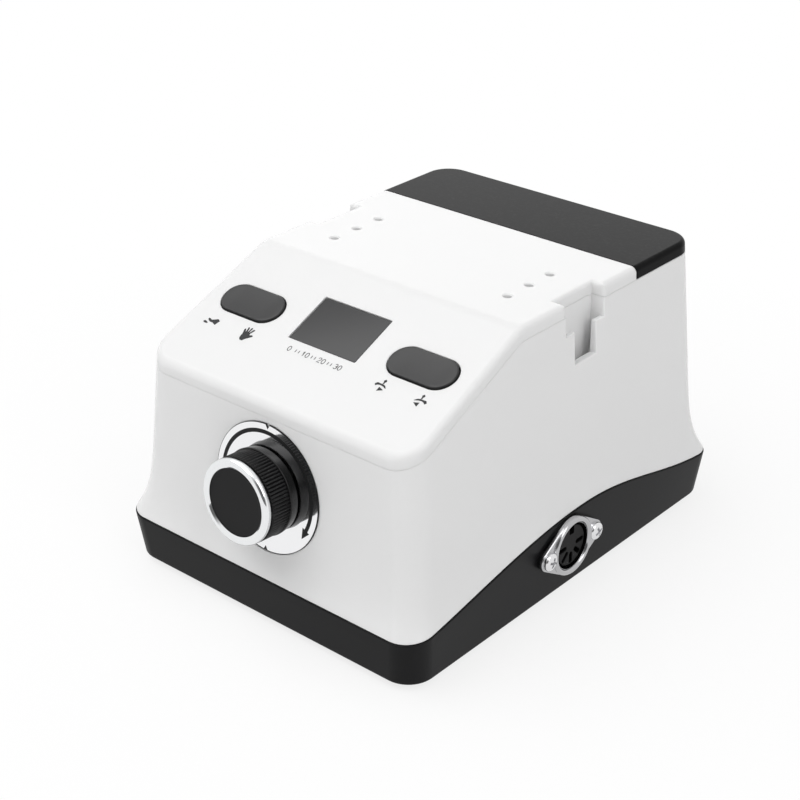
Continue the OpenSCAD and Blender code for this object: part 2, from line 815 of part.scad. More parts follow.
module panel_board()
    color("#1d5a3a")
        difference() {
            on_panel(0, window_s)
                lift(-board_drop - board_t) block(panel_board_w, panel_board_h, board_t);
            on_panel(0, 0)
                for (place = board_post_places)
                    translate(place - [0, 0, board_drop]) screw_hole(board_t + over);
        }

module panel_board_screws()
    color("#a5a7aa")
        on_panel(0, 0)
            for (place = board_post_places)
                translate(place - [0, 0, board_drop + board_t])
                    mirror([0, 0, 1]) screw(board_t + board_screw_l - over);

// Rocker on its pivot, level
module rocker()
    lift(-pivot_d) {
        lift(pivot_d - rocker_skirt) bar(rocker_l, rocker_w, rocker_skirt + rocker_up);
        rotate([90, 0, 0]) cylinder(r = hub_r, h = hub_l, center = true);
        rotate([90, 0, 0]) cylinder(r = pin_r, h = hub_l + 2*cheek_t, center = true);
        block(2*hub_r, hub_l, pivot_d - rocker_skirt + over/2);
    }

module rocker_switch()
    lift(-board_drop)
        difference() {
            union() {
                block(rocker_l - 2*cheek_t, switch_base_w, switch_base_h);
                for (side = [-1, 1])
                    translate([0, side*(switch_base_w - cheek_t)/2, 0]) block(cheek_l, cheek_t, cheek_h);
            }
            lift(board_drop - pivot_d)
                rotate([90, 0, 0]) cylinder(r = pin_r + pin_play, h = rocker_w + over, center = true);
        }

module mode_rocker() color("#3a3b3d") on_panel(-rocker_x, rocker_s) rocker();
module direction_rocker() color("#3a3b3d") on_panel(rocker_x, rocker_s) rocker();
module mode_switch() color("#202124") on_panel(-rocker_x, rocker_s) rocker_switch();
module direction_switch() color("#202124") on_panel(rocker_x, rocker_s) rocker_switch();

// Motor socket, along the axis out of the right side
insert_r = socket_r - socket_t - screw_play;
contact_play = 0.03;
contact_turns = [for (i = [0:4]) 180 + 45*i];
ear_turn = acos((flange_r - ear_r)/(socket_pitch/2));
arc_steps = 16;
function arc(x, r, from, to) =
    [for (i = [0:arc_steps]) let (turn = mix(from, to, i/arc_steps)) [x + r*cos(turn), r*sin(turn)]];
// Outline of the flange: two ears and the round middle, joined by the lines that touch both
flange_outline = concat(
    arc(socket_pitch/2, ear_r, -ear_turn, ear_turn),
    arc(0, flange_r, ear_turn, 180 - ear_turn),
    arc(-socket_pitch/2, ear_r, 180 - ear_turn, 180 + ear_turn),
    arc(0, flange_r, 180 + ear_turn, 360 - ear_turn)
);

module socket_shell()
    color("#c9cacc")
        on_socket()
            difference() {
                union() {
                    linear_extrude(flange_t) polygon(flange_outline);
                    cylinder(r = socket_r + socket_t/2, h = flange_t + socket_rim_h);
                    lift(-socket_l) cylinder(r = socket_r, h = socket_l + over/2);
                }
                lift(-socket_l - over)
                    cylinder(r = socket_r - socket_t, h = socket_l + flange_t + socket_rim_h + 2*over);
                ends(socket_pitch/2, flange_t) screw_hole(flange_t + over);
            }

module socket_insert()
    color("#1b1b1d")
        on_socket()
            difference() {
                lift(-socket_l) cylinder(r = insert_r, h = socket_l + flange_t);
                for (turn = contact_turns)
                    rotate(turn)
                        translate([contact_pcr, 0, 0]) {
                            lift(-socket_l/2) block(contact_l, contact_w, socket_l);
                            lift(-socket_l - over)
                                cylinder(r = contact_r + contact_play, h = socket_l);
                        }
                translate([0, insert_r, -socket_l/2]) block(2*contact_w, 2*contact_w, socket_l);
            }

module socket_contacts()
    color("#c9a85a")
        on_socket()
            for (turn = contact_turns)
                rotate(turn)
                    translate([contact_pcr, 0, -socket_l - tail_l])
                        cylinder(r = contact_r, h = socket_l + tail_l - over);

module socket_screws()
    color("#d3d5d7")
        on_socket() ends(socket_pitch/2, flange_t) screw(boss_in - 2*over);

// Fittings of the back wall
switch_body_w = switch_w - bezel_t;
switch_body_h = switch_h - bezel_t;
switch_body_l = 12;
power_pivot = 1;
power_up = bezel_t + 1;
jack_body_w = 2*jack_r + 3;
hollow_w = inlet_body_w - 2*inlet_wall;
hollow_h = inlet_body_h - 2*inlet_wall;
blade_places = [[-live_pitch/2, -earth_up/2], [live_pitch/2, -earth_up/2], [0, earth_up/2]];

module mains_inlet()
    color("#1c1c1e")
        on_back(inlet_x, back_h)
            difference() {
                union() {
                    bar(inlet_w, inlet_h, bezel_t);
                    lift(-inlet_body_l) block(inlet_body_w, inlet_body_h, inlet_body_l + over);
                }
                lift(bezel_t - inlet_hollow)
                    linear_extrude(inlet_hollow + over)
                        polygon([
                            [-hollow_w/2, -hollow_h/2],
                            [hollow_w/2, -hollow_h/2],
                            [hollow_w/2, hollow_h/5],
                            [hollow_w/2 - hollow_h/3, hollow_h/2],
                            [-hollow_w/2 + hollow_h/3, hollow_h/2],
                            [-hollow_w/2, hollow_h/5]
                        ]);
                for (place = blade_places)
                    translate([place.x, place.y, -inlet_body_l - over])
                        block(blade_w + screw_play, blade_t + screw_play, inlet_body_l);
                ends(inlet_pitch/2, bezel_t) screw_hole(bezel_t + over);
            }

module inlet_pins()
    color("#c9a85a")
        on_back(inlet_x, back_h)
            for (place = blade_places)
                translate([place.x, place.y, -inlet_body_l - tail_l])
                    block(blade_w, blade_t, inlet_body_l + tail_l + bezel_t - inlet_hollow + blade_l);

module inlet_screws()
    color("#b5b7b9")
        on_back(inlet_x, back_h) ends(inlet_pitch/2, bezel_t) screw(bezel_t + 3*wall);

module power_switch()
    color("#1f1f21")
        on_back(switch_x, back_h)
            difference() {
                union() {
                    block(switch_w, switch_h, bezel_t);
                    lift(-switch_body_l) block(switch_body_w, switch_body_h, switch_body_l + over);
                }
                lift(-switch_body_l/2)
                    block(power_l + 3*rocker_gap, power_w + 2*rocker_gap, switch_body_l);
                lift(-power_pivot)
                    rotate([90, 0, 0])
                        cylinder(r = pin_r + pin_play, h = power_w + 4*rocker_gap, center = true);
            }

module power_rocker()
    color("#2a2a2c")
        on_back(switch_x, back_h)
            lift(-power_pivot)
                rotate([0, power_tip, 0]) {
                    lift(-hub_r) block(power_l, power_w, hub_r + power_pivot + power_up);
                    rotate([90, 0, 0]) cylinder(r = pin_r, h = power_w + 3*rocker_gap, center = true);
                }

module pedal_jack()
    color("#2c2d2f")
        on_back(jack_x, jack_h)
            difference() {
                union() {
                    lift(-wall - jack_depth) block(jack_body_w, jack_body_w, jack_depth);
                    lift(-wall - over)
                        cylinder(r = jack_r, h = wall + over + jack_nut_t + bushing_end);
                }
                lift(jack_nut_t + bushing_end - jack_depth)
                    cylinder(r = jack_bore_r, h = jack_depth + over);
            }

module pedal_jack_nut()
    color("#c8c9cb")
        on_back(jack_x, jack_h)
            difference() {
                hexagon(jack_nut_af, jack_nut_t);
                lift(-over) cylinder(r = jack_r + screw_play, h = jack_nut_t + 2*over);
            }

// Transformer on the tray's floor
core_window = (core_w - 4*core_leg)/2;
coil_h = core_h - 2*core_leg - 2*coil_gap;
// Thickness of the winding where it passes the core's windows
coil_wound = min(coil_t, core_window - 2*coil_gap);
strap_w = 12;
strap_screw_x = core_w/2 + strap_t + strap_foot/2;

module at_core() translate([core_x, core_y, floor_z]) children();

module transformer_core()
    color("#7d7f82")
        at_core()
            difference() {
                block(core_w, core_d, core_h);
                for (side = [-1, 1])
                    translate([side*(core_leg + core_window/2), 0, core_leg])
                        block(core_window, core_d + 2*over, core_h - 2*core_leg);
            }

module transformer_coil()
    color("#b5763a")
        at_core()
            lift(core_leg + coil_gap)
                difference() {
                    block(2*core_leg + 2*coil_gap + 2*coil_wound, core_d + 2*coil_gap + 2*coil_t, coil_h);
                    lift(-over)
                        block(2*core_leg + 2*coil_gap, core_d + 2*coil_gap, coil_h + 2*over);
                }

module transformer_strap()
    color("#a9abae")
        at_core()
            difference() {
                union() {
                    lift(core_h) block(core_w + 2*strap_t, strap_w, strap_t);
                    for (side = [-1, 1]) {
                        translate([side*(core_w + strap_t)/2, 0, 0])
                            block(strap_t, strap_w, core_h + strap_t);
                        translate([side*strap_screw_x, 0, 0]) block(strap_foot, strap_w, strap_t);
                    }
                }
                ends(strap_screw_x, strap_t) screw_hole(strap_t + over);
            }

module transformer_screws()
    color("#b5b7b9")
        at_core() ends(strap_screw_x, strap_t) screw(strap_t + floor_t - over/2);

// Control board on the tray's posts
board_z = floor_z + board_up;
board_top = board_z + board_t;
sink_base = 2.5;
// The heat sink stands in front of the board's rear screws
sink_y = board_d/2 - 2*board_screw_in - sink_d/2;
plug_step = 16;
plug_d = 6;
plug_h = 8;

module on_board(x, y) translate([x, board_y + y, board_top]) children();

module control_board()
    color("#1f6140")
        translate([0, board_y, board_z])
            difference() {
                block(board_w, board_d, board_t);
                lift(board_t)
                    board_corners() screw_hole(board_t + over);
            }

module control_board_screws()
    color("#b5b7b9")
        on_board(0, 0)
            board_corners() screw(board_t + board_up - 2*over);

module capacitors()
    color("#2d3a55")
        for (i = [0, 1]) on_board(-board_w/4 + i*(2*cap_r + 2), 0) cylinder(r = cap_r, h = cap_h);

module heat_sink()
    color("#9fa2a5")
        on_board(board_w/4, sink_y) {
            translate([0, sink_d/2 - sink_base/2, 0]) block(sink_w, sink_base, sink_h);
            for (i = [0:fin_count - 1])
                translate([mix(-1, 1, i/(fin_count - 1))*(sink_w - fin_t)/2, 0, 0])
                    block(fin_t, sink_d, sink_h);
        }

module board_plugs()
    color("#eceae2")
        for (i = [-1:1])
            on_board(i*plug_step, -board_d/2 + plug_l/2 + over) block(plug_l, plug_d, plug_h);

module board_fuse()
    color("#cfd3d6")
        on_board(board_w/4, -board_d/12) {
            translate([-fuse_l/2, 0, fuse_r + 1]) rotate([0, 90, 0]) cylinder(r = fuse_r, h = fuse_l);
            for (end = [-1, 1]) translate([end*(fuse_l/2 - 2.5), 0, 0]) block(3, 2*fuse_r, fuse_r + 1);
        }

// Reach of the part, and the middle of its box
front_reach = front_y + ring_front*cos(wall_lean) + (ring_r - ring_l/2)*sin(wall_lean);
right_reach = flange_x + flange_t + screw_head_h;
mid_x = (right_reach - rim_w/2)/2;
mid_y = (rim_d/2 - front_reach)/2;
module seat() translate([-mid_x, -mid_y, 0]) children();

seat() base_tray();
seat() body_shell();
seat() top_cover();
seat() rear_cap();
seat() rubber_feet();
seat() case_screws();
seat() dial_plate();
seat() pot_body();
seat() pot_nut();
seat() pot_shaft();
seat() knob_grip();
seat() knob_ring();
seat() knob_cap();
seat() display_window();
seat() display_module();
seat() panel_board();
seat() panel_board_screws();
seat() mode_rocker();
seat() direction_rocker();
seat() mode_switch();
seat() direction_switch();
seat() socket_shell();
seat() socket_insert();
seat() socket_contacts();
seat() socket_screws();
seat() mains_inlet();
seat() inlet_pins();
seat() inlet_screws();
seat() power_switch();
seat() power_rocker();
seat() pedal_jack();
seat() pedal_jack_nut();
seat() transformer_core();
seat() transformer_coil();
seat() transformer_strap();
seat() transformer_screws();
seat() control_board();
seat() control_board_screws();
seat() capacitors();
seat() heat_sink();
seat() board_plugs();
seat() board_fuse();
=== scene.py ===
"""Looks of a nail drill's desktop control box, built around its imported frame."""

import logging
import math
from dataclasses import dataclass, field
from enum import Enum
from math import cos, radians, sin
from typing import Callable, Sequence

import bmesh
import bpy
import numpy as np
from bpy.types import Material, Node, NodeOutputs, NodeSocket, NodeTree, Object
from mathutils import Matrix, Vector


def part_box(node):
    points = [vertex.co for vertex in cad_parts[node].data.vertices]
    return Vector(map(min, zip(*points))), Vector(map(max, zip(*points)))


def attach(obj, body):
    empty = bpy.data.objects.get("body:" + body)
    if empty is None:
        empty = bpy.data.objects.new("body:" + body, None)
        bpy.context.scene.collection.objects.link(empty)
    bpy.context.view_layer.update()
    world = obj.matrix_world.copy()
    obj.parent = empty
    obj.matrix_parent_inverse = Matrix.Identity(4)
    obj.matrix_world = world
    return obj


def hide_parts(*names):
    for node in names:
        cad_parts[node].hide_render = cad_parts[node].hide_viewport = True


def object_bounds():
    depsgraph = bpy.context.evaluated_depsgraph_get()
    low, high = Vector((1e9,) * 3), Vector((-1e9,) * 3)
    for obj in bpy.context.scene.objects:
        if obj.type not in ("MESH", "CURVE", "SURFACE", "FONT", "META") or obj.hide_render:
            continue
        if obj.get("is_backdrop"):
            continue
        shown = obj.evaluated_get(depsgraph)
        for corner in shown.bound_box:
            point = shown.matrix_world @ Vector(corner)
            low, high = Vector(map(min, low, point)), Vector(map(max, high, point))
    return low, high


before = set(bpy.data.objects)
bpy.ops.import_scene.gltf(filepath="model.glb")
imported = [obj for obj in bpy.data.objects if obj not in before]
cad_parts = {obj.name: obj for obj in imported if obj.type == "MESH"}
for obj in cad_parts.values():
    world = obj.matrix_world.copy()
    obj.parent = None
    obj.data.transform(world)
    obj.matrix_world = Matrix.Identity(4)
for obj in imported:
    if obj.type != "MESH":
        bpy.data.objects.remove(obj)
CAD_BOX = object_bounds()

LOG = logging.getLogger("control_box")
MM = 0.001
HOUSING = "housing"
SIDES = (-1, 1)
QUARTER = math.pi / 2
OVER = 1.0  # how far a cutter goes past a face, in millimetres
THROUGH = 5.0  # how far a cutter goes to each side of a face that it opens, in millimetres
SHARP = 0.02  # radius that stands for a sharp corner, in millimetres
PRINT = 0.03  # height of printed ink, in millimetres
WELD = 1e-7  # distance at which points of a mesh become one, in metres
Colour = tuple[float, float, float]
Spot = tuple[float, float, float]
Layer = tuple[float, float]
Edges = tuple[float, float]  # roundings of the upper and the lower edge of a plate, in millimetres
Drawing = list[Layer]
Array = np.ndarray
Outline = Callable[[float], Array]


@dataclass(frozen=True)
class Place:
    """A local frame on the object, in metres, in which a piece is built."""

    matrix: Matrix

    @classmethod
    def along(cls, origin: Vector, x: Vector, z: Vector) -> "Place":
        """Makes a frame from its origin, its sideways axis and its outward axis.

        Args:
            origin: Point in metres.
            x: Direction to the right.
            z: Direction out of the face.

        Returns:
            The frame, with square axes of length 1.
        """
        out = z.normalized()
        up = out.cross(x).normalized()
        matrix = Matrix((up.cross(out), up, out)).transposed().to_4x4()
        matrix.translation = origin
        return cls(matrix)

    def moved(self, x: float = 0.0, y: float = 0.0, z: float = 0.0) -> "Place":
        """Returns the frame shifted along its own axes, in millimetres."""
        return Place(self.matrix @ Matrix.Translation(Vector((x, y, z)) * MM))

    def turned(self, degrees: float, axis: str = "Z") -> "Place":
        """Returns the frame turned about one of its own axes."""
        return Place(self.matrix @ Matrix.Rotation(radians(degrees), 4, axis))


HOME = Place(Matrix.Identity(4))


@dataclass
class Shape:
    """A closed surface: points in millimetres and the faces between them."""

    points: Array
    faces: list[tuple[int, ...]]

    def placed(self, place: Place) -> "Shape":
        """Returns the shape moved into a frame."""
        matrix = np.array(place.matrix)
        return Shape(self.points @ matrix[:3, :3].T + matrix[:3, 3] / MM, self.faces)


def together(shapes: Sequence[Shape]) -> Shape:
    """Gathers shapes that don't touch into one.

    Args:
        shapes: The separate shapes.

    Returns:
        One shape with all their points and faces.
    """
    faces, start = [], 0
    for shape in shapes:
        faces += [tuple(i + start for i in face) for face in shape.faces]
        start += len(shape.points)
    return Shape(np.concatenate([shape.points for shape in shapes]), faces)


def level(flat: Array, z: Array | float) -> Array:
    """Returns flat points lifted to one height, or each to its own."""
    return np.column_stack([flat, np.broadcast_to(z, len(flat))])


def quarter(steps: int) -> list[float]:
    """Returns the angles of a quarter turn in equal steps."""
    return [QUARTER * i / steps for i in range(steps + 1)]


def fillet(radius: float, steps: int) -> list[Layer]:
    """Returns the insets from the side and the drops from the face of a rounding, from the side on."""
    return [(radius * (1 - cos(t)), radius * (1 - sin(t))) for t in quarter(steps)]


def full_turn(steps: int) -> Array:
    """Returns the angles of a full turn in equal steps."""
    return np.linspace(0, 4 * QUARTER, steps, endpoint=False)


def around(turn: Array, radius: Array | float, x: float = 0.0, y: float = 0.0) -> Array:
    """Returns flat points at some angles around a middle."""
    return np.column_stack([x + radius * np.cos(turn), y + radius * np.sin(turn)])


def loft(rings: Sequence[Array], closed: bool = False) -> Shape:
    """Joins rings of points by bands of faces.

    Args:
        rings: Rings with the same number of points.
        closed: Whether the last ring joins the first; otherwise both ends get a lid.

    Returns:
        The closed shape.
    """
    count, total = len(rings[0]), len(rings)
    faces: list[tuple[int, ...]] = []
    for k in range(total if closed else total - 1):
        a, b = k * count, (k + 1) % total * count
        for i in range(count):
            j = (i + 1) % count
            faces.append((a + i, a + j, b + j, b + i))
    if not closed:
        faces.append(tuple(range(count))[::-1])
        faces.append(tuple(range(count * (total - 1), count * total)))
    return Shape(np.concatenate(rings), faces)


def stack(outline: Outline, layers: Sequence[Layer], closed: bool = False) -> Shape:
    """Returns an outline stacked in layers of an inset and a height, with lids or closed into a frame."""
    return loft([level(outline(inset), z) for inset, z in layers], closed)


def revolve(profile: Sequence[Layer], steps: int = 96, closed: bool = False) -> Shape:
    """Returns a profile of radius and height turned about the Z axis, with lids or closed into a ring."""
    turn = full_turn(steps)
    return loft([level(around(turn, r), z) for r, z in profile], closed)


def rounded(low: float, high: float, radius: float, foot: float = 0.0, steps: int = 4) -> list[Layer]:
    """Returns insets and heights, from below, of a plate with its upper edge and its foot rounded."""
    below = [(drop, low + inset) for inset, drop in fillet(foot, steps)] if foot else [(0.0, low)]
    return below + [(inset, high - drop) for inset, drop in fillet(radius, steps)]


def rounded_rect(width: float, height: float, radius: float, steps: int = 8) -> Outline:
    """Outline of a rectangle with rounded corners.

    Args:
        width: Width of the rectangle.
        height: Height of the rectangle.
        radius: Radius of its corners.
        steps: Steps in each corner.

    Returns:
        The outline as a function of its inset.
    """
    turn = np.array(quarter(steps))

    def outline(inset: float) -> Array:
        """Insets the rectangle.

        Args:
            inset: Distance in millimetres.

        Returns:
            Its points.
        """
        r = max(radius - inset, SHARP)
        a, b = width / 2 - inset - r, height / 2 - inset - r
        corners = ((a, b), (-a, b), (-a, -b), (a, -b))
        return np.concatenate([around(turn + i * QUARTER, r, x, y) for i, (x, y) in enumerate(corners)])

    return outline


def bar(length: float, width: float, steps: int = 20) -> Outline:
    """Returns the outline of a bar with round ends."""
    return rounded_rect(length, width, width / 2, steps)


def disc(radius: float, steps: int = 96) -> Outline:
    """Returns the outline of a circle."""
    turn = full_turn(steps)
    return lambda inset: around(turn, radius - inset)


def hexagon(across_flats: float) -> Outline:
    """Returns the outline of a hexagon."""
    return disc(across_flats / 2 / cos(math.pi / 6), steps=6)


def slab(outline: Outline, low: float, high: float) -> Shape:
    """Returns a slab over an outline, its edges sharp."""
    return stack(outline, [(0.0, low), (0.0, high)])


def block(width: float, depth: float, low: float, high: float) -> Shape:
    """Returns a square block, centred across."""
    return slab(rounded_rect(width, depth, SHARP, 1), low, high)


def rod(radius: float, low: float, high: float, steps: int = 48) -> Shape:
    """Returns a round rod along the Z axis."""
    return revolve([(radius, low), (radius, high)], steps)


def polygon_plate(points: Sequence[Layer], low: float, high: float) -> Shape:
    """Returns a plate over an outline of points."""
    return loft([level(np.array(points, float), z) for z in (low, high)])


def make(name: str, shape: Shape, place: Place = HOME) -> Object:
    """Makes an object from a shape.

    Args:
        name: Name of the piece.
        shape: Its closed surface, in millimetres.
        place: Frame that it stands in.

    Returns:
        The object, linked to the scene.
    """
    mesh = bpy.data.meshes.new(name)
    mesh.from_pydata((shape.points * MM).tolist(), [], shape.faces)
    work = bmesh.new()
    work.from_mesh(mesh)
    bmesh.ops.remove_doubles(work, verts=work.verts, dist=WELD)
    bmesh.ops.recalc_face_normals(work, faces=work.faces)
    work.to_mesh(mesh)
    work.free()
    obj = bpy.data.objects.new(name, mesh)
    bpy.context.scene.collection.objects.link(obj)
    obj.matrix_world = place.matrix
    return obj


def bake(obj: Object) -> None:
    """Turns an object's modifiers into its mesh.

    Args:
        obj: The object.
    """
    bpy.context.view_layer.update()
    graph = bpy.context.evaluated_depsgraph_get()
    mesh = bpy.data.meshes.new_from_object(obj.evaluated_get(graph), depsgraph=graph)
    old = obj.data
    obj.modifiers.clear()
    obj.data = mesh
    bpy.data.meshes.remove(old)
    mesh.name = obj.name


def merge_flats(obj: Object, degrees: float = 0.05) -> None:
    """Joins faces that lie in one plane, so that cuts and roundings in it stay clean.

    Args:
        obj: The piece.
        degrees: Angle up to which two faces count as one plane.
    """
    work = bmesh.new()
    work.from_mesh(obj.data)
    limit = radians(degrees)
    bmesh.ops.dissolve_limit(work, angle_limit=limit, verts=work.verts, edges=work.edges)
    work.to_mesh(obj.data)
    work.free()


class Cut(Enum):
    """Ways to combine a shape with a piece."""

    AWAY = "DIFFERENCE"
    ON = "UNION"
    KEEP = "INTERSECT"


def carve(obj: Object, shape: Shape, how: Cut = Cut.AWAY) -> None:
    """Combines a shape with a piece.

    Args:
        obj: The piece.
        shape: The shape, in the object's frame in millimetres.
        how: Whether the shape is cut away, added or kept.
    """
    cutter = make("cutter", shape)
    step = obj.modifiers.new("cut", "BOOLEAN")
    step.operation, step.solver, step.object = how.value, "EXACT", cutter
    bake(obj)
    mesh = cutter.data
    bpy.data.objects.remove(cutter)
    bpy.data.meshes.remove(mesh)


def soften(obj: Object, width: float, segments: int, degrees: float) -> None:
    """Rounds the sharp edges of a piece.

    Args:
        obj: The piece.
        width: Width of the rounding in millimetres.
        segments: Steps in the rounding.
        degrees: Angle from which an edge counts as sharp.
    """
    step = obj.modifiers.new("round", "BEVEL")
    step.width, step.segments = width * MM, segments
    step.limit_method, step.angle_limit = "ANGLE", radians(degrees)
    step.use_clamp_overlap = True
    bake(obj)


def settle(obj: Object, degrees: float) -> None:
    """Shades a piece smooth, except over its sharp edges.

    Args:
        obj: The piece.
        degrees: Angle from which an edge stays sharp.
    """
    obj.data.shade_smooth()
    obj.data.set_sharp_from_angle(angle=radians(degrees))
    step = obj.modifiers.new("normals", "WEIGHTED_NORMAL")
    step.keep_sharp = True
    bake(obj)


class Nodes:
    """Short hand for building a node tree."""

    def __init__(self, tree: NodeTree) -> None:
        """Takes the tree to build in."""
        self.tree = tree

    def feed(self, node: Node, inputs: dict) -> Node:
        """Gives a node its inputs.

        Args:
            node: The node.
            inputs: Values, or sockets to link to, by the input's name or number.

        Returns:
            The node.
        """
        for key, value in inputs.items():
            if isinstance(value, NodeSocket):
                self.tree.links.new(value, node.inputs[key])
            else:
                node.inputs[key].default_value = value
        return node

    def add(self, kind: str, inputs: dict | None = None, **settings: object) -> Node:
        """Adds a node.

        Args:
            kind: Blender's name of the node type.
            inputs: Values of its input sockets by name or number.
            settings: Values of its other properties.

        Returns:
            The node.
        """
        node = self.tree.nodes.new(kind)
        for key, value in settings.items():
            setattr(node, key, value)
        return self.feed(node, inputs or {})

    def math(self, operation: str, first: object, second: object) -> NodeSocket:
        """Adds a math node and returns its result."""
        return self.add("ShaderNodeMath", {0: first, 1: second}, operation=operation).outputs[0]

    def swing(self, value: NodeSocket, share: object) -> NodeSocket:
        """Returns a share of what a pattern goes up or down from its middle."""
        return self.math("MULTIPLY", self.math("SUBTRACT", value, 0.5), share)

    def ramp(self, value: object, span: Layer, ends: Layer = (0.0, 1.0)) -> NodeSocket:
        """Adds a map range node, held to its ends.

        Args:
            value: What it maps.
            span: Values at which the ends are reached.
            ends: Results at those values.

        Returns:
            The result.
        """
        low, high = span
        first, last = ends
        inputs = {"Value": value, "From Min": low, "From Max": high, "To Min": first, "To Max": last}
        return self.add("ShaderNodeMapRange", inputs).outputs["Result"]

    def mix(self, share: object, first: object, second: object) -> NodeSocket:
        """Adds a colour mix node and returns its result."""
        return self.add("ShaderNodeMix", {0: share, 6: first, 7: second}, data_type="RGBA").outputs[2]

    def spot(self) -> NodeSocket:
        """Returns the place on the object."""
        return self.add("ShaderNodeTexCoord").outputs["Object"]

    def length(self, vector: NodeSocket) -> NodeSocket:
        """Returns the length of a vector."""
        return self.add("ShaderNodeVectorMath", {0: vector}, operation="LENGTH").outputs["Value"]

    def noise(self, scale: object, detail: float) -> NodeSocket:
        """Adds a noise pattern over the object and returns it."""
        inputs = {"Vector": self.spot(), "Scale": scale, "Detail": detail}
        return self.add("ShaderNodeTexNoise", inputs).outputs[0]

    def bump(self, height: object, depth: float, strength: float = 1.0) -> NodeSocket:
        """Adds a relief of a depth in millimetres and returns its normals."""
        inputs = {"Height": height, "Distance": depth * MM, "Strength": strength}
        return self.add("ShaderNodeBump", inputs).outputs[0]


class Effect(Enum):
    """The effects that materials share, by the names of their node groups."""

    GRAIN = "moulded_grain"
    WEAR = "edge_wear"
    DUST = "settled_dust"
    TURNING = "turned_rings"


GroupStart = tuple[Nodes, NodeOutputs, Node]


def new_group(effect: Effect, inputs: Sequence[str], outputs: Sequence[str]) -> GroupStart:
    """Starts a shader node group.

    Args:
        effect: The effect that it gives.
        inputs: Names of its inputs, of which those that end with Colour are colours.
        outputs: Names of its outputs, likewise.

    Returns:
        The group's nodes, what is given to it, and its output node.
    """
    tree = bpy.data.node_groups.new(effect.value, "ShaderNodeTree")
    for side, names in (("INPUT", inputs), ("OUTPUT", outputs)):
        for name in names:
            kind = "NodeSocketColor" if name.endswith("Colour") else "NodeSocketFloat"
            tree.interface.new_socket(name, in_out=side, socket_type=kind)
    nodes = Nodes(tree)
    return nodes, nodes.add("NodeGroupInput").outputs, nodes.add("NodeGroupOutput")


def grain_group() -> NodeTree:
    """Builds the group for moulded grain: cloudy colour, uneven gloss and fine relief.

    Returns:
        The node group.
    """
    inputs = ("Colour", "Cloud", "Grain Size", "Roughness", "Spread")
    nodes, given, end = new_group(Effect.GRAIN, inputs, ("Colour", "Roughness", "Height"))
    cloud = nodes.noise(scale=45.0, detail=3.0)
    fine = nodes.noise(scale=nodes.math("DIVIDE", 1.0, given["Grain Size"]), detail=2.0)
    value = nodes.math("ADD", 1.0, nodes.swing(cloud, given["Cloud"]))
    tint = nodes.add("ShaderNodeHueSaturation", {"Value": value, "Color": given["Colour"]}).outputs[0]
    rough = nodes.math("ADD", given["Roughness"], nodes.swing(fine, given["Spread"]))
    nodes.feed(end, {"Colour": tint, "Roughness": rough, "Height": fine})
    return nodes.tree


def wear_group() -> NodeTree:
    """Builds the group for edges that handling has rubbed lighter.

    Returns:
        The node group.
    """
    nodes, given, end = new_group(Effect.WEAR, ("Colour", "Worn Colour", "Amount"), ("Colour",))
    sharp = nodes.add("ShaderNodeNewGeometry").outputs["Pointiness"]
    edge = nodes.ramp(sharp, span=(0.52, 0.62))
    patchy = nodes.noise(scale=260.0, detail=4.0)
    mask = nodes.math("MULTIPLY", nodes.math("MULTIPLY", edge, patchy), given["Amount"])
    nodes.feed(end, {"Colour": nodes.mix(mask, given["Colour"], given["Worn Colour"])})
    return nodes.tree


def dust_group() -> NodeTree:
    """Builds the group for the faint dust that settles on faces that look up.

    Returns:
        The node group.
    """
    nodes, given, end = new_group(Effect.DUST, ("Amount",), ("Mask",))
    normal = nodes.add("ShaderNodeNewGeometry").outputs["Normal"]
    up = nodes.ramp(nodes.add("ShaderNodeSeparateXYZ", {0: normal}).outputs["Z"], span=(0.3, 1.0))
    specks = nodes.ramp(nodes.noise(scale=900.0, detail=6.0), span=(0.5, 0.75))
    mask = nodes.math("MULTIPLY", nodes.math("MULTIPLY", up, specks), given["Amount"])
    nodes.feed(end, {"Mask": mask})
    return nodes.tree


def turning_group() -> NodeTree:
    """Builds the group for the fine rings that a lathe or polishing wheel leaves around the Z axis.

    Returns:
        The node group.
    """
    inputs = ("Roughness", "Spread", "Pitch")
    nodes, given, end = new_group(Effect.TURNING, inputs, ("Roughness", "Height"))
    axes = nodes.add("ShaderNodeSeparateXYZ", {0: nodes.spot()}).outputs
    flat = nodes.add("ShaderNodeCombineXYZ", {0: axes[0], 1: axes[1]}).outputs[0]
    line = nodes.math("DIVIDE", nodes.math("ADD", nodes.length(flat), axes[2]), given["Pitch"])
    pattern = {"W": line, "Scale": 1.0, "Detail": 3.0}
    rings = nodes.add("ShaderNodeTexNoise", pattern, noise_dimensions="1D").outputs[0]
    rough = nodes.math("ADD", given["Roughness"], nodes.swing(rings, given["Spread"]))
    nodes.feed(end, {"Roughness": rough, "Height": rings})
    return nodes.tree


GROUP_MAKERS: dict[Effect, Callable[[], NodeTree]] = {
    Effect.GRAIN: grain_group, Effect.WEAR: wear_group,
    Effect.DUST: dust_group, Effect.TURNING: turning_group,
}


def use_group(nodes: Nodes, effect: Effect, inputs: dict[str, object]) -> NodeOutputs:
    """Places a shared group, built when first asked for, in a material and returns what it puts out."""
    tree = bpy.data.node_groups.get(effect.value) or GROUP_MAKERS[effect]()
    return nodes.add("ShaderNodeGroup", inputs, node_tree=tree).outputs


def grained(
    nodes: Nodes, colour: object, cloud: float, size: float, roughness: float = 0.0, spread: float = 0.0
) -> NodeOutputs:
    """Places the grain, its size in millimetres, in a material and returns what it puts out."""
    return use_group(nodes, Effect.GRAIN, {
        "Colour": colour, "Cloud": cloud, "Grain Size": size * MM, "Roughness": roughness, "Spread": spread,
    })


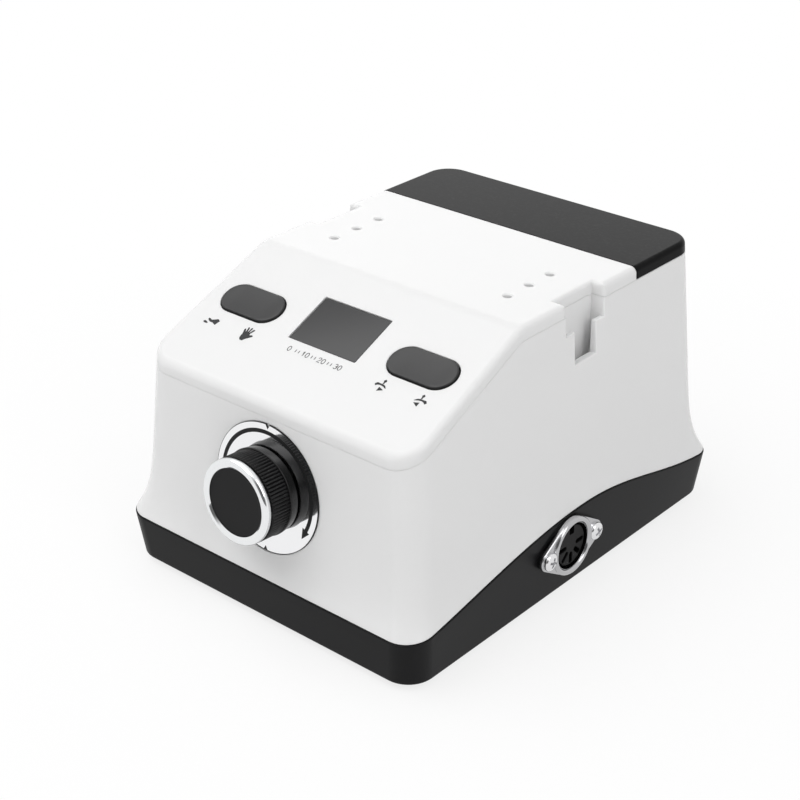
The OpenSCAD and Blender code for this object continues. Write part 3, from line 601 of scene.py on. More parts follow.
def start_material(name: str) -> tuple[Material, Nodes, Node]:
    """Starts a material.

    Args:
        name: Name of the material.

    Returns:
        The material, its nodes and its surface shader.
    """
    material = bpy.data.materials.new(name)
    material.use_nodes = True
    return material, Nodes(material.node_tree), material.node_tree.nodes["Principled BSDF"]


def rgba(colour: Colour) -> tuple[float, float, float, float]:
    """Returns a colour with full opacity."""
    return (*colour, 1.0)


@dataclass(frozen=True)
class Finish:
    """What every finish has: a name, and a material that is built once."""

    name: str

    def material(self) -> Material:
        """Returns the finish's material, building it when it is first asked for."""
        return bpy.data.materials.get(self.name) or self.build()

    def build(self) -> Material:
        """Builds the material."""
        raise NotImplementedError


@dataclass(frozen=True)
class Moulding(Finish):
    """Moulded plastic or rubber with a fine grain."""

    colour: Colour
    roughness: float
    grain: float = 0.6
    relief: float = 0.004
    cloud: float = 0.03
    spread: float = 0.06
    coat: float = 0.0
    coat_roughness: float = 0.06
    specular: float = 0.5
    glow: float = 0.0
    glow_depth: float = 1.5
    wear: float = 0.0
    worn_colour: Colour = (0.05, 0.05, 0.05)
    dust: float = 0.0
    dust_colour: Colour = (0.62, 0.61, 0.6)

    def build(self) -> Material:
        """Builds the moulded surface.

        Returns:
            The material.
        """
        material, nodes, shader = start_material(self.name)
        grain = grained(nodes, rgba(self.colour), self.cloud, self.grain, self.roughness, self.spread)
        colour = grain["Colour"]
        if self.wear:
            worn = {"Colour": colour, "Worn Colour": rgba(self.worn_colour), "Amount": self.wear}
            colour = use_group(nodes, Effect.WEAR, worn)["Colour"]
        if self.dust:
            mask = use_group(nodes, Effect.DUST, {"Amount": self.dust})["Mask"]
            colour = nodes.mix(mask, colour, rgba(self.dust_colour))
        nodes.feed(shader, {
            "Base Color": colour, "Roughness": grain["Roughness"],
            "Normal": nodes.bump(grain["Height"], self.relief), "Specular IOR Level": self.specular,
            "Coat Weight": self.coat, "Coat Roughness": self.coat_roughness, "Subsurface Weight": self.glow,
            "Subsurface Radius": (1.0, 1.0, 1.0), "Subsurface Scale": self.glow_depth * MM,
        })
        return material


@dataclass(frozen=True)
class Metal(Finish):
    """Bare or plated metal with fine tool marks."""

    colour: Colour
    roughness: float
    pitch: float
    spread: float
    relief: float = 0.001
    cloud: float = 0.08
    grain: float = 1.5

    def build(self) -> Material:
        """Builds the metal surface.

        Returns:
            The material.
        """
        material, nodes, shader = start_material(self.name)
        marks = {"Roughness": self.roughness, "Spread": self.spread, "Pitch": self.pitch * MM}
        rings = use_group(nodes, Effect.TURNING, marks)
        nodes.feed(shader, {
            "Base Color": grained(nodes, rgba(self.colour), self.cloud, self.grain)["Colour"],
            "Roughness": rings["Roughness"], "Metallic": 1.0,
            "Normal": nodes.bump(rings["Height"], self.relief),
        })
        return material


class Lay(Enum):
    """Directions in which bands follow each other across a piece."""

    ALONG_Y = "Y"
    ALONG_Z = "Z"


@dataclass(frozen=True)
class Banded(Finish):
    """A surface of fine parallel bands, such as stacked sheets or turns of wire."""

    colour: Colour
    gap_colour: Colour
    radian: float  # length in which the wave of the bands turns by one radian, in millimetres
    lay: Lay
    roughness: float
    metallic: float
    wave_rate: float = 20.0  # radians that the wave node turns in a length of 1 at scale 1
    gap: float = 0.35
    grain: float = 0.8

    def build(self) -> Material:
        """Builds the banded surface.

        Returns:
            The material.
        """
        material, nodes, shader = start_material(self.name)
        scale = 1.0 / (self.wave_rate * self.radian * MM)
        pattern = {"Vector": nodes.spot(), "Scale": scale, "Distortion": 0.4, "Detail": 1.0}
        wave = nodes.add("ShaderNodeTexWave", pattern, bands_direction=self.lay.value).outputs["Fac"]
        gap = nodes.ramp(wave, span=(0.0, self.gap), ends=(1.0, 0.0))
        colour = nodes.mix(gap, rgba(self.colour), rgba(self.gap_colour))
        grain = grained(nodes, colour, 0.25, self.grain, self.roughness, spread=0.1)
        nodes.feed(shader, {
            "Base Color": grain["Colour"], "Roughness": grain["Roughness"],
            "Normal": nodes.bump(wave, self.radian / 4, strength=0.6), "Metallic": self.metallic,
        })
        return material


@dataclass(frozen=True)
class CircuitBoard(Finish):
    """A lacquered board with the pattern of its copper showing through."""

    colour: Colour
    track_colour: Colour
    roughness: float = 0.3
    grain: float = 0.5

    def build(self) -> Material:
        """Builds the lacquered board.

        Returns:
            The material.
        """
        material, nodes, shader = start_material(self.name)
        black, white = rgba((0, 0, 0)), rgba((1, 1, 1))
        tracks = nodes.add("ShaderNodeTexBrick", {
            "Vector": nodes.spot(), "Scale": 160.0, "Mortar Size": 0.06, "Mortar Smooth": 0.1,
            "Color1": black, "Color2": black, "Mortar": white,
        }).outputs["Fac"]
        colour = nodes.mix(tracks, rgba(self.colour), rgba(self.track_colour))
        grain = grained(nodes, colour, 0.1, self.grain, self.roughness, spread=0.08)
        nodes.feed(shader, {"Base Color": grain["Colour"], "Roughness": grain["Roughness"]})
        return material


WHITE = Moulding(
    "white_gloss", (0.80, 0.80, 0.80), 0.24, grain=2.2, cloud=0.012, spread=0.05, specular=0.2, glow=0.3,
)
TRAY_BLACK = Moulding(
    "tray_charcoal", (0.0085, 0.0085, 0.009), 0.4, grain=0.5, relief=0.01, cloud=0.12, specular=0.09,
    dust=0.02, wear=0.25,
)
CAP_BLACK = Moulding(
    "cap_black", (0.003, 0.003, 0.0032), 0.3, grain=0.45, relief=0.008, cloud=0.1, specular=0.045,
    dust=0.01, wear=0.2,
)
ROCKER_GREY = Moulding(
    "rocker_grey", (0.016, 0.016, 0.0165), 0.3, grain=0.4, relief=0.008, cloud=0.08, specular=0.35,
    wear=0.2, worn_colour=(0.1, 0.1, 0.1),
)
KNOB_BLACK = Moulding(
    "knob_black", (0.0045, 0.0045, 0.0048), 0.26, grain=0.35, relief=0.005, cloud=0.1, specular=0.25,
    wear=0.35, worn_colour=(0.06, 0.06, 0.06),
)
FACE_BLACK = Moulding(
    "face_black", (0.0075, 0.0075, 0.008), 0.5, grain=0.3, relief=0.005, cloud=0.08, specular=0.15,
)
FITTING_BLACK = Moulding(
    "fitting_black", (0.0075, 0.0075, 0.008), 0.4, grain=0.5, relief=0.01, cloud=0.1, specular=0.2,
    wear=0.2,
)
INSERT_BLACK = Moulding(
    "insert_black", (0.0042, 0.0042, 0.0044), 0.42, grain=0.5, relief=0.01, cloud=0.1, specular=0.1,
)
POWER_BLACK = Moulding("power_gloss", (0.012, 0.012, 0.0125), 0.2, grain=1.0, cloud=0.08, coat=0.2)
WINDOW_DARK = Moulding(
    "window_dark", (0.03, 0.03, 0.031), 0.12, grain=3.0, relief=0.001, cloud=0.1, spread=0.03, specular=0.3,
)
FOOT_RUBBER = Moulding(
    "foot_rubber", (0.018, 0.018, 0.018), 0.75, grain=0.4, relief=0.03, cloud=0.2, dust=0.1,
)
INK = Moulding("panel_ink", (0.03, 0.03, 0.0315), 0.5, grain=0.2, relief=0.002, cloud=0.15, specular=0.2)
# print and painted shade: this ink also darkens the dial plate's rim
DIAL_INK_AND_RIM_SHADE = Moulding(
    "dial_ink_and_rim_shade", (0.012, 0.012, 0.0125), 0.5, grain=0.2, relief=0.002, cloud=0.15, specular=0.15,
)
PALE_INK = Moulding("switch_ink", (0.7, 0.7, 0.7), 0.5, grain=0.2, relief=0.002, cloud=0.1)
NYLON = Moulding("plug_nylon", (0.72, 0.71, 0.66), 0.45, grain=0.6, relief=0.01, cloud=0.06)
SLEEVE = Moulding("capacitor_sleeve", (0.025, 0.04, 0.1), 0.25, grain=1.5, relief=0.01, cloud=0.15)
FUSE = Moulding("fuse_tube", (0.6, 0.62, 0.64), 0.15, grain=1.0, cloud=0.1, coat=0.5)
MIRROR = Metal("dial_polished", (0.86, 0.86, 0.87), 0.07, pitch=0.12, spread=0.03, relief=0.0004)
CHROME = Metal("ring_chrome", (0.88, 0.885, 0.89), 0.06, pitch=0.3, spread=0.03, relief=0.0003)
NICKEL = Metal("socket_nickel", (0.46, 0.46, 0.47), 0.19, pitch=0.2, spread=0.1)
BRIGHT = Metal("screw_bright", (0.74, 0.74, 0.75), 0.14, pitch=0.15, spread=0.06)
ZINC = Metal("screw_zinc", (0.62, 0.63, 0.65), 0.28, pitch=0.15, spread=0.12)
BRASS = Metal("contact_brass", (0.72, 0.55, 0.26), 0.25, pitch=0.15, spread=0.1)
ALLOY = Metal("sink_alloy", (0.55, 0.56, 0.57), 0.35, pitch=0.3, spread=0.15)
CORE = Banded("core_sheets", (0.28, 0.28, 0.29), (0.05, 0.05, 0.05), 0.5, Lay.ALONG_Y, 0.5, 0.8)
COIL = Banded("coil_winding", (0.55, 0.26, 0.1), (0.16, 0.06, 0.02), 0.6, Lay.ALONG_Z, 0.35, 0.4)
BOARD = CircuitBoard("board_green", (0.018, 0.12, 0.055), (0.05, 0.24, 0.11))


def install(
    obj: Object, finish: Finish, body: str, slot: str, *nodes: str, smooth: float = 40.0
) -> None:
    """Shades a piece, and gives it its finish, its body and the nodes that it stands for.

    Args:
        obj: The piece.
        finish: Its finish.
        body: Body that it moves with.
        slot: The record's material slot that it belongs to; not used.
        nodes: Nodes that it replaces.
        smooth: Angle in degrees from which an edge stays sharp, or 0 for flat print.
    """
    if smooth:
        settle(obj, smooth)
    obj.data.materials.clear()
    obj.data.materials.append(finish.material())
    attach(obj, body)
    if nodes:
        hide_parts(*nodes)
    LOG.info("%s: %d faces, on %s", obj.name, len(obj.data.polygons), body)


class End(Enum):
    """The two ends of the case, by their way along the depth."""

    FRONT = -1
    BACK = 1


@dataclass(frozen=True)
class CaseForm:
    """The form that tray, walls and cover share, in millimetres from the case's middle on the table."""

    origin: Vector
    rim_w: float = 113.0
    rim_d: float = 148.0
    rim_z: float = 16.2
    hump_h: float = 10.4
    crest_y: float = 4.0
    hump_bow: float = 1.2
    corner_r: float = 8.5
    lean: float = 4.0
    flare: float = 3.2
    flare_h: float = 28.0
    flare_power: float = 4.0
    top_z: float = 88.4
    panel_tilt: float = 23.7
    bend_y: float = -20.0
    bend_r: float = 9.0
    lip_h: float = 3.8
    edge_r: float = 2.0
    wall: float = 2.2
    seam: float = 0.25
    cap_y: float = 34.2
    corner_steps: int = 12
    panel_steps: int = 16
    bend_steps: int = 6
    flat_steps: int = 28
    parting_rounds: int = 3

    @property
    def home(self) -> Place:
        """Frame of the case's own middle."""
        return Place(Matrix.Translation(self.origin))

    @property
    def slope(self) -> float:
        """Inward run of the walls per unit of height."""
        return math.tan(radians(self.lean))

    @property
    def bend_run(self) -> float:
        """Length of the rounded bend to each side of its corner."""
        return self.bend_r * math.tan(radians(self.panel_tilt / 2))

    @property
    def bend_low(self) -> float:
        """Place where the flat slope ends and the rounded bend starts."""
        return self.bend_y - self.bend_run * cos(radians(self.panel_tilt))

    @property
    def bend_span(self) -> tuple[int, int]:
        """Numbers of the outline's points where the bend starts and ends."""
        start = self.corner_steps + self.panel_steps
        return start, start + self.bend_steps

    def foot(self, y: Array) -> Array:
        """Height of the tray's rim along the depth.

        Args:
            y: Places along the depth.

        Returns:
            The height at each place.
        """
        half = self.rim_d / 2
        climb = np.sin(QUARTER * np.clip((y + half) / (self.crest_y + half), 0, 1) ** self.hump_bow)
        fall = np.sin(QUARTER * np.clip((half - y) / (half - self.crest_y), 0, 1)) ** 2
        return self.rim_z + self.hump_h * np.where(y < self.crest_y, climb, fall)

    def inset(self, z: Array, foot: Array) -> Array:
        """Returns the wall's inset from the rim's outline at a height, above its foot there."""
        swept = 1 - (1 - np.clip((z - foot) / self.flare_h, 0, 1)) ** self.flare_power
        return self.slope * (z - self.rim_z) + self.flare * swept

    def flat_inset(self, z: float) -> float:
        """Returns the wall's inset at a height where its foot is lowest."""
        return float(self.inset(np.array(z), np.array(self.rim_z)))

    def top(self, y: Array) -> Array:
        """Height of the cover's face along the depth, over its rounded bend.

        Args:
            y: Places along the depth.

        Returns:
            The height at each place.
        """
        slope = self.top_z - (self.bend_y - y) * math.tan(radians(self.panel_tilt))
        back = np.clip(y - self.bend_y - self.bend_run, -self.bend_r, 0)
        bend = self.top_z - self.bend_r + np.sqrt(self.bend_r ** 2 - back ** 2)
        flat = np.where(y < self.bend_y + self.bend_run, bend, self.top_z)
        return np.where(y <= self.bend_low, slope, flat)

    def half(self, inset: Array | float, radius: Array | float) -> Array:
        """Right half of the case's outline, from front to back.

        Args:
            inset: Inset from the rim's outline, for all points or for each.
            radius: Radius of the corners, for all points or for each.

        Returns:
            Points across and along the depth.
        """
        arc = np.radians(np.linspace(-90, 0, self.corner_steps + 1))
        count = 2 * self.corner_steps + self.panel_steps + self.bend_steps + self.flat_steps + 1
        inset, radius = np.broadcast_to(inset, count), np.broadcast_to(radius, count)
        a, t = self.rim_w / 2 - inset, self.rim_d / 2 - inset - radius
        first, (low, high), last = self.corner_steps, self.bend_span, count - self.corner_steps - 1
        high_y = self.bend_y + self.bend_run
        x, y = a.copy(), np.zeros(count)
        front, panel, flat = slice(0, first + 1), slice(first, low + 1), slice(high, last + 1)
        x[front] = (a - radius)[front] + radius[front] * np.cos(arc)
        y[front] = -t[front] + radius[front] * np.sin(arc)
        y[panel] = -t[panel] + (self.bend_low + t[panel]) * np.linspace(0, 1, self.panel_steps + 1)
        y[low:high + 1] = np.linspace(self.bend_low, high_y, self.bend_steps + 1)
        y[flat] = high_y + (t[flat] - high_y) * np.linspace(0, 1, self.flat_steps + 1)
        x[last:] = (a - radius)[last:] + radius[last:] * np.cos(arc + QUARTER)
        y[last:] = t[last:] + radius[last:] * np.sin(arc + QUARTER)
        return np.column_stack([x, y])

    @staticmethod
    def ring(half: Array) -> Array:
        """Returns the full ring of a right half."""
        return np.concatenate([half, half[::-1] * np.array([-1, 1, 1])])

    @property
    def feet(self) -> Array:
        """Height of the walls' foot at each point of the outline."""
        return self.foot(self.half(0.0, self.corner_r)[:, 1])

    @property
    def parting(self) -> Array:
        """Height of the parting line.

        Returns:
            The height at each point of the outline.
        """
        feet = self.feet
        z = np.full(len(feet), self.top_z - self.lip_h)
        for _ in range(self.parting_rounds):
            z = self.top(self.half(self.inset(z, feet), self.corner_r)[:, 1]) - self.lip_h
        return z

    def wall_ring(self, z: Array, depth: float) -> Array:
        """Returns the ring of the walls at a height, at a depth under their face."""
        flat = self.half(self.inset(z, self.feet) + depth, self.corner_r - depth)
        return self.ring(level(flat, z))

    def end_place(self, end: End, x: float, z: float) -> Place:
        """Frame on the front or back wall, X to the right as seen from outside.

        Args:
            end: Which of the two walls.
            x: Place across.
            z: Height.

        Returns:
            The frame.
        """
        way, lean = end.value, radians(self.lean)
        y = way * (self.rim_d / 2 - self.flat_inset(z))
        out = Vector((0, way * cos(lean), sin(lean)))
        return Place.along(self.origin + Vector((x, y, z)) * MM, Vector((-way, 0, 0)), out)

    def panel_place(self, x: float, down: float) -> Place:
        """Frame on the sloped panel.

        Args:
            x: Place across.
            down: Distance below the bend, along the panel.

        Returns:
            The frame.
        """
        tilt = radians(self.panel_tilt)
        along = Vector((0, -cos(tilt), -sin(tilt)))
        origin = self.origin + (Vector((x, self.bend_y, self.top_z)) + along * down) * MM
        return Place.along(origin, Vector((1, 0, 0)), Vector((0, -sin(tilt), cos(tilt))))


@dataclass(frozen=True)
class SlotForm:
    """The pocket in each side and the T-shaped opening in front of it, in millimetres."""

    case: CaseForm
    y: float = 9.0
    width: float = 18.2
    neck: float = 10.0
    step_h: float = 9.6
    height: float = 19.4
    under: float = 4.0
    depth: float = 4.3
    lip: float = 1.1
    wall: float = 1.6
    reach: float = 2.9
    away: float = 6.0

    @property
    def flat_part(self) -> float:
        """Height of the parting line along the flat top."""
        return self.case.top_z - self.case.lip_h

    @property
    def crown_x(self) -> float:
        """Half width of the case at the parting line of its flat top."""
        return self.case.rim_w / 2 - self.case.flat_inset(self.flat_part)

    @property
    def pocket_z(self) -> float:
        """Height of the pocket's floor."""
        return self.case.top_z - self.height - self.under

    def both(self, right: Shape) -> Shape:
        """Joins a shape of the right side with its mirror image.

        Args:
            right: The shape, in the object's frame.

        Returns:
            The shapes of both sides.
        """
        middle = np.array(self.case.origin)[0] / MM
        left = Shape(right.points * np.array([-1, 1, 1]) + np.array([2 * middle, 0, 0]), right.faces)
        return together([right, left])

    def above(self, grow: float, reach: float) -> Array:
        """Outline of the right pocket from above.

        Args:
            grow: How far it goes beyond the pocket, inwards and to both sides.
            reach: How far it goes outwards from the middle.

        Returns:
            Its four corners.
        """
        inner, half = self.crown_x - self.depth - grow, self.width / 2 + grow
        corners = [(inner, -half), (reach, -half), (reach, half), (inner, half)]
        return np.array(corners) + np.array([0, self.y])

    def block(self, grow: float, reach: float, low: float, high: float) -> Shape:
        """Returns blocks over both pockets, grown and reaching out as above, between two heights."""
        return self.both(polygon_plate(self.above(grow, reach), low, high).placed(self.case.home))

    @staticmethod
    def flared(edge: float, deep: float, away: float) -> list[Layer]:
        """Returns growths and heights, from below, of a cutter that leaves a rounded rim at a face."""
        rim = [(inset, -drop) for inset, drop in fillet(edge, steps=5)]
        return [(0.0, -deep), *rim, (edge, away)]

    def opening(self, edge: float, stepped: bool) -> Shape:
        """Cutter of the opening in the leaning side.

        Args:
            edge: Radius of its rim.
            stepped: Whether it narrows in a step and ends, as in the walls, or runs straight down.

        Returns:
            The cutters of both sides.
        """
        lean = radians(self.case.lean)
        origin = self.case.origin + Vector((self.crown_x, self.y, self.flat_part)) * MM
        place = Place.along(origin, Vector((0, 1, 0)), Vector((cos(lean), 0, sin(lean))))
        step, low = self.case.lip_h - self.step_h, self.case.lip_h - self.height

        def outline(inset: float) -> Array:
            """Insets the opening.

            Args:
                inset: Distance in millimetres.

            Returns:
                Its points.
            """
            w, n = self.width / 2 - inset, self.neck / 2 - inset
            right = [(w, -self.away)]
            if stepped:
                right = [(n, low + inset), (n, step + inset), (w, step + inset)]
            left = [(-x, y) for x, y in right[::-1]]
            return np.array([(w, 2 * self.away), (-w, 2 * self.away), *left, *right])

        layers = [(-grow, z) for grow, z in self.flared(edge, self.reach, self.away)]
        return self.both(stack(outline, layers).placed(place))

    def notch(self, edge: float) -> Shape:
        """Cutter of the notch in the flat top.

        Args:
            edge: Radius of its rim.

        Returns:
            The cutters of both sides.
        """
        layers = [(-grow, self.case.top_z + z) for grow, z in self.flared(edge, self.away, OVER)]
        cut = stack(lambda inset: self.above(-inset, self.case.rim_w / 2), layers)
        return self.both(cut.placed(self.case.home))


@dataclass
class Tray:
    """The charcoal tray that the case stands on."""

    case: CaseForm
    under_z: float = 2.0
    floor_z: float = 4.4
    taper: float = 1.5
    edge: float = 1.0
    rim_edge: float = 0.4
    side_shares: Layer = (0.33, 0.66)
    socket_hole_r: float = 8.2
    boss_r: float = 3.0
    boss_l: float = 8.0
    sink_r: float = 2.9
    sink_h: float = 1.6

    def wall_inset(self, z: Array) -> Array:
        """Inset of the tray's wall at each point of the outline.

        Args:
            z: Height at each point.

        Returns:
            The insets.
        """
        feet, low = self.case.feet, self.under_z + self.edge
        rim = self.case.slope * (feet - self.case.rim_z)
        return self.taper + (rim - self.taper) * (z - low) / (feet - low)

    def ring(self, z: Array | float, inset: Array | float, radius: float) -> Array:
        """Returns a ring of the tray at a height, with an inset and a radius of its corners."""
        return self.case.ring(level(self.case.half(inset, radius), z))

    def shape(self) -> Shape:
        """Forms the tray, before its holes.

        Returns:
            The closed surface.
        """
        case, feet = self.case, self.case.feet
        low = self.under_z + self.edge
        rings = [
            self.ring(self.under_z + up, self.taper + back, case.corner_r - back)
            for up, back in fillet(self.edge, steps=5)
        ]
        sides = [(low + (feet - low) * share, 0.0) for share in self.side_shares]
        sides += [(feet - drop, back) for back, drop in fillet(self.rim_edge, steps=3)]
        sides.append((feet, case.wall))
        rings += [self.ring(z, self.wall_inset(z) + back, case.corner_r - back) for z, back in sides]
        rings.append(self.ring(self.floor_z, self.taper + case.wall, case.corner_r - case.wall))
        return loft(rings).placed(case.home)

    def build(self, socket: Place, ear_x: float, posts: Sequence[Place]) -> None:
        """Builds the tray.

        Args:
            socket: Frame on the back of the socket's flange.
            ear_x: Distance of the socket's ears from its middle, in millimetres.
            posts: Frames of the case screws on the table.
        """
        obj = make("tray", self.shape())
        boss = rod(self.boss_r, -self.boss_l, 0.0)
        carve(obj, together([boss.placed(socket.moved(x=side * ear_x)) for side in SIDES]), Cut.ON)
        carve(obj, rod(self.socket_hole_r, -2 * self.boss_l, self.boss_l, steps=64).placed(socket))
        sink = rod(self.sink_r, -OVER, self.sink_h, steps=40)
        carve(obj, together([sink.placed(post.moved(z=self.under_z)) for post in posts]))
        install(obj, TRAY_BLACK, HOUSING, "tray_plastic", "base_tray")


@dataclass
class Walls:
    """The glossy white walls of the case."""

    case: CaseForm
    slots: SlotForm
    edge: float = 0.35
    top_edge: float = 0.15
    top_gap: float = 0.06
    levels: int = 18
    level_power: float = 1.6
    inner_shares: tuple[float, ...] = (1.0, 0.6, 0.3, 0.12, 0.0)
    slot_edge: float = 0.45
    root_share: float = 1 / 8  # how deep the pocket's block is rooted in the wall's thickness

    def shape(self) -> Shape:
        """Forms the walls, before their cuts.

        Returns:
            The closed surface.
        """
        case = self.case
        low, high = case.feet + case.seam, case.parting - self.top_gap
        layers = [(low + up, back) for up, back in fillet(self.edge, steps=3)]
        for k in range(1, self.levels + 1):
            rise = case.flare_h * (k / self.levels) ** self.level_power
            layers.append((np.maximum(low + rise, low + 2 * self.edge), 0.0))
        layers += [(high - drop, back) for back, drop in fillet(self.top_edge, steps=3)]
        layers.append((high, case.wall))
        layers += [(low + case.flare_h * share, case.wall) for share in self.inner_shares]
        return loft([case.wall_ring(z, depth) for z, depth in layers], closed=True).placed(case.home)

    def build(self, recesses: Sequence[Shape], openings: Sequence[Shape]) -> None:
        """Builds the walls.

        Args:
            recesses: Shallow seats cut into the walls.
            openings: Openings cut through the walls.
        """
        case, slots = self.case, self.slots
        obj = make("walls", self.shape())
        merge_flats(obj)
        root, floor = slots.crown_x - case.wall * self.root_share, slots.pocket_z - slots.wall
        carve(obj, slots.block(slots.wall, root, floor, slots.flat_part - self.top_gap), Cut.ON)
        carve(obj, slots.block(0.0, slots.crown_x - slots.lip, slots.pocket_z, case.top_z))
        carve(obj, slots.opening(self.slot_edge, True))
        carve(obj, together(recesses))
        carve(obj, together(openings))
        install(obj, WHITE, HOUSING, "white_plastic", "body_shell")


@dataclass
class Cover:
    """The white cover with its sloped panel, and the black cap behind it."""

    case: CaseForm
    slots: SlotForm
    bit_x: float = 32.4
    bit_y: float = 4.3
    bit_pitch: float = 9.9
    bit_r: float = 1.25
    bit_depth: float = 11.0
    bit_wall: float = 1.6
    bit_edge: float = 0.4
    slot_edge: float = 1.1
    slot_play: float = 0.2
    root_share: float = 1 / 3  # how deep the pocket's block is rooted in the wall's thickness
    cap_edge: float = 1.6
    joint_edge: float = 0.3
    edge_steps: int = 7
    tongue_h: float = 2.5
    tongue_t: float = 1.2
    tongue_play: float = 0.1

    def crown(self, radius: float) -> Shape:
        """Forms cover and cap in one.

        Args:
            radius: Radius of the upper edge.

        Returns:
            The closed surface.
        """
        case = self.case
        parting, feet = case.parting, case.feet
        base = case.inset(parting + case.lip_h - radius, feet)

        def edge(back: float, drop: float) -> Array:
            """Returns a ring of the rounded edge."""
            flat = case.half(base + back, case.corner_r - back)
            return case.ring(level(flat, case.top(flat[:, 1]) - drop))

        outer = case.wall + self.tongue_play
        inner, tip = outer + self.tongue_t, parting - self.tongue_h
        rings = [edge(inner, case.wall), case.wall_ring(tip, inner), case.wall_ring(tip, outer)]
        rings += [case.wall_ring(parting, outer), case.wall_ring(parting, 0.0)]
        rings += [edge(back, drop) for back, drop in fillet(radius, self.edge_steps)]
        shape = loft(rings)
        del shape.faces[-2:]
        count, total = len(feet), 2 * len(feet)
        low, high = case.bend_span
        lids = [tuple(range(low + 1)) + tuple(range(total - 1 - low, total))]
        lids += [(j, j + 1, total - 2 - j, total - 1 - j) for j in range(low, high)]
        lids.append(tuple(range(high, count)) + tuple(range(count, total - high)))
        for start in (0, total * (len(rings) - 1)):
            shape.faces += [tuple(start + i for i in lid) for lid in lids]
        return shape.placed(case.home)

    def behind(self, y: float) -> Shape:
        """Returns the space behind a place along the depth."""
        space = block(2 * self.case.rim_w, self.case.rim_d, 0.0, 2 * self.case.top_z)
        return space.placed(self.case.home.moved(y=y + self.case.rim_d / 2))

    def bits(self, profile: Sequence[Layer]) -> Shape:
        """Repeats a turned shape at each bit hole.

        Args:
            profile: Its radii and heights, measured from the flat top.

        Returns:
            The six shapes.
        """
        case, bit = self.case, revolve(profile, steps=40)
        rows = [self.bit_y + step * self.bit_pitch for step in (-1, 0, 1)]
        spots = [(side * self.bit_x, y) for side in SIDES for y in rows]
        return together([bit.placed(case.home.moved(x, y, case.top_z)) for x, y in spots])

    def build(self, recesses: Sequence[Shape], openings: Sequence[Shape]) -> None:
        """Builds the cover and the cap.

        Args:
            recesses: Shallow seats cut into the panel.
            openings: Openings cut through the panel.
        """
        case, slots = self.case, self.slots
        cover = make("cover", self.crown(case.edge_r))
        carve(cover, self.behind(case.cap_y - case.seam / 2))
        carve(cover, slots.block(slots.wall + self.slot_play, case.rim_w / 2, 0.0, slots.flat_part))
        root = slots.crown_x - case.wall * self.root_share
        carve(cover, slots.block(slots.wall, root, slots.flat_part, case.top_z - case.wall / 2), Cut.ON)
        carve(cover, slots.notch(self.slot_edge))
        carve(cover, slots.opening(self.slot_edge, False))
        around_r, wide, low = self.bit_r + self.bit_wall, self.bit_r + self.bit_edge, -self.bit_depth
        carve(cover, self.bits([(around_r, low - self.bit_wall), (around_r, -case.wall / 2)]), Cut.ON)
        hole = self.bits([(self.bit_r, low), (self.bit_r, -self.bit_edge), (wide, 0.0), (wide, OVER)])
        carve(cover, together([hole, *openings]))
        carve(cover, together(recesses))
        install(cover, WHITE, HOUSING, "white_plastic", "top_cover")

        cap = make("cap", self.crown(self.cap_edge))
        carve(cap, self.behind(case.cap_y + case.seam / 2), Cut.KEEP)
        soften(cap, self.joint_edge, segments=3, degrees=60)
        install(cap, CAP_BLACK, HOUSING, "cap_plastic", "rear_cap")


# outlines of the printed signs, in millimetres around their middles
SHOE: Drawing = [
    (-1.6, 0.3), (-1.55, -0.1), (-1.1, -0.5), (-0.25, -0.85), (0.75, -0.8), (1.4, -1.1), (2.05, -1.35),
    (2.3, -0.35), (2.6, 0.45), (1.65, 1.0), (0.6, 0.4), (-0.25, 0.0), (-1.1, 0.3),
]
PEDAL: Drawing = [(-2.5, -1.3), (-2.1, -1.7), (-1.1, -1.75), (-0.6, -1.45), (-1.35, -1.05), (-2.0, -0.9)]
BIT: Drawing = [
    (-0.08, 0.45), (0.33, 0.45), (0.33, 0.9), (0.6, 1.35), (0.13, 1.85), (-0.35, 1.35), (-0.08, 0.9),
]
ARC: Drawing = [
    (-2.0, -0.2), (-1.6, -0.7), (-1.1, -0.3), (-0.4, -0.13), (0.6, -0.25), (1.4, -0.58),
    (1.75, -0.58), (1.0, 0.13), (0.13, 0.36), (-0.6, 0.32), (-1.5, 0.36),
]
ARROW: Drawing = [(-0.18, -2.0), (1.4, -1.2), (-0.18, -0.7)]
HAND: Drawing = [
    (-0.5, -2.55), (0.45, -2.55), (1.0, -1.75), (2.5, -0.3), (2.65, 0.0), (2.1, 0.25), (1.35, -0.1),
    (1.1, 0.45), (1.75, 2.0), (1.5, 2.25), (1.15, 2.1), (0.68, 0.75), (0.5, 0.8), (0.6, 2.4), (0.33, 2.6),
    (0.05, 2.4), (0.0, 0.85), (-0.15, 0.85), (-0.5, 2.3), (-0.8, 2.45), (-1.05, 2.25), (-0.65, 0.7),
    (-0.75, 0.6), (-1.3, 1.5), (-1.65, 1.55), (-1.8, 1.25), (-1.2, -0.3), (-1.2, -1.0), (-1.0, -1.9),
]


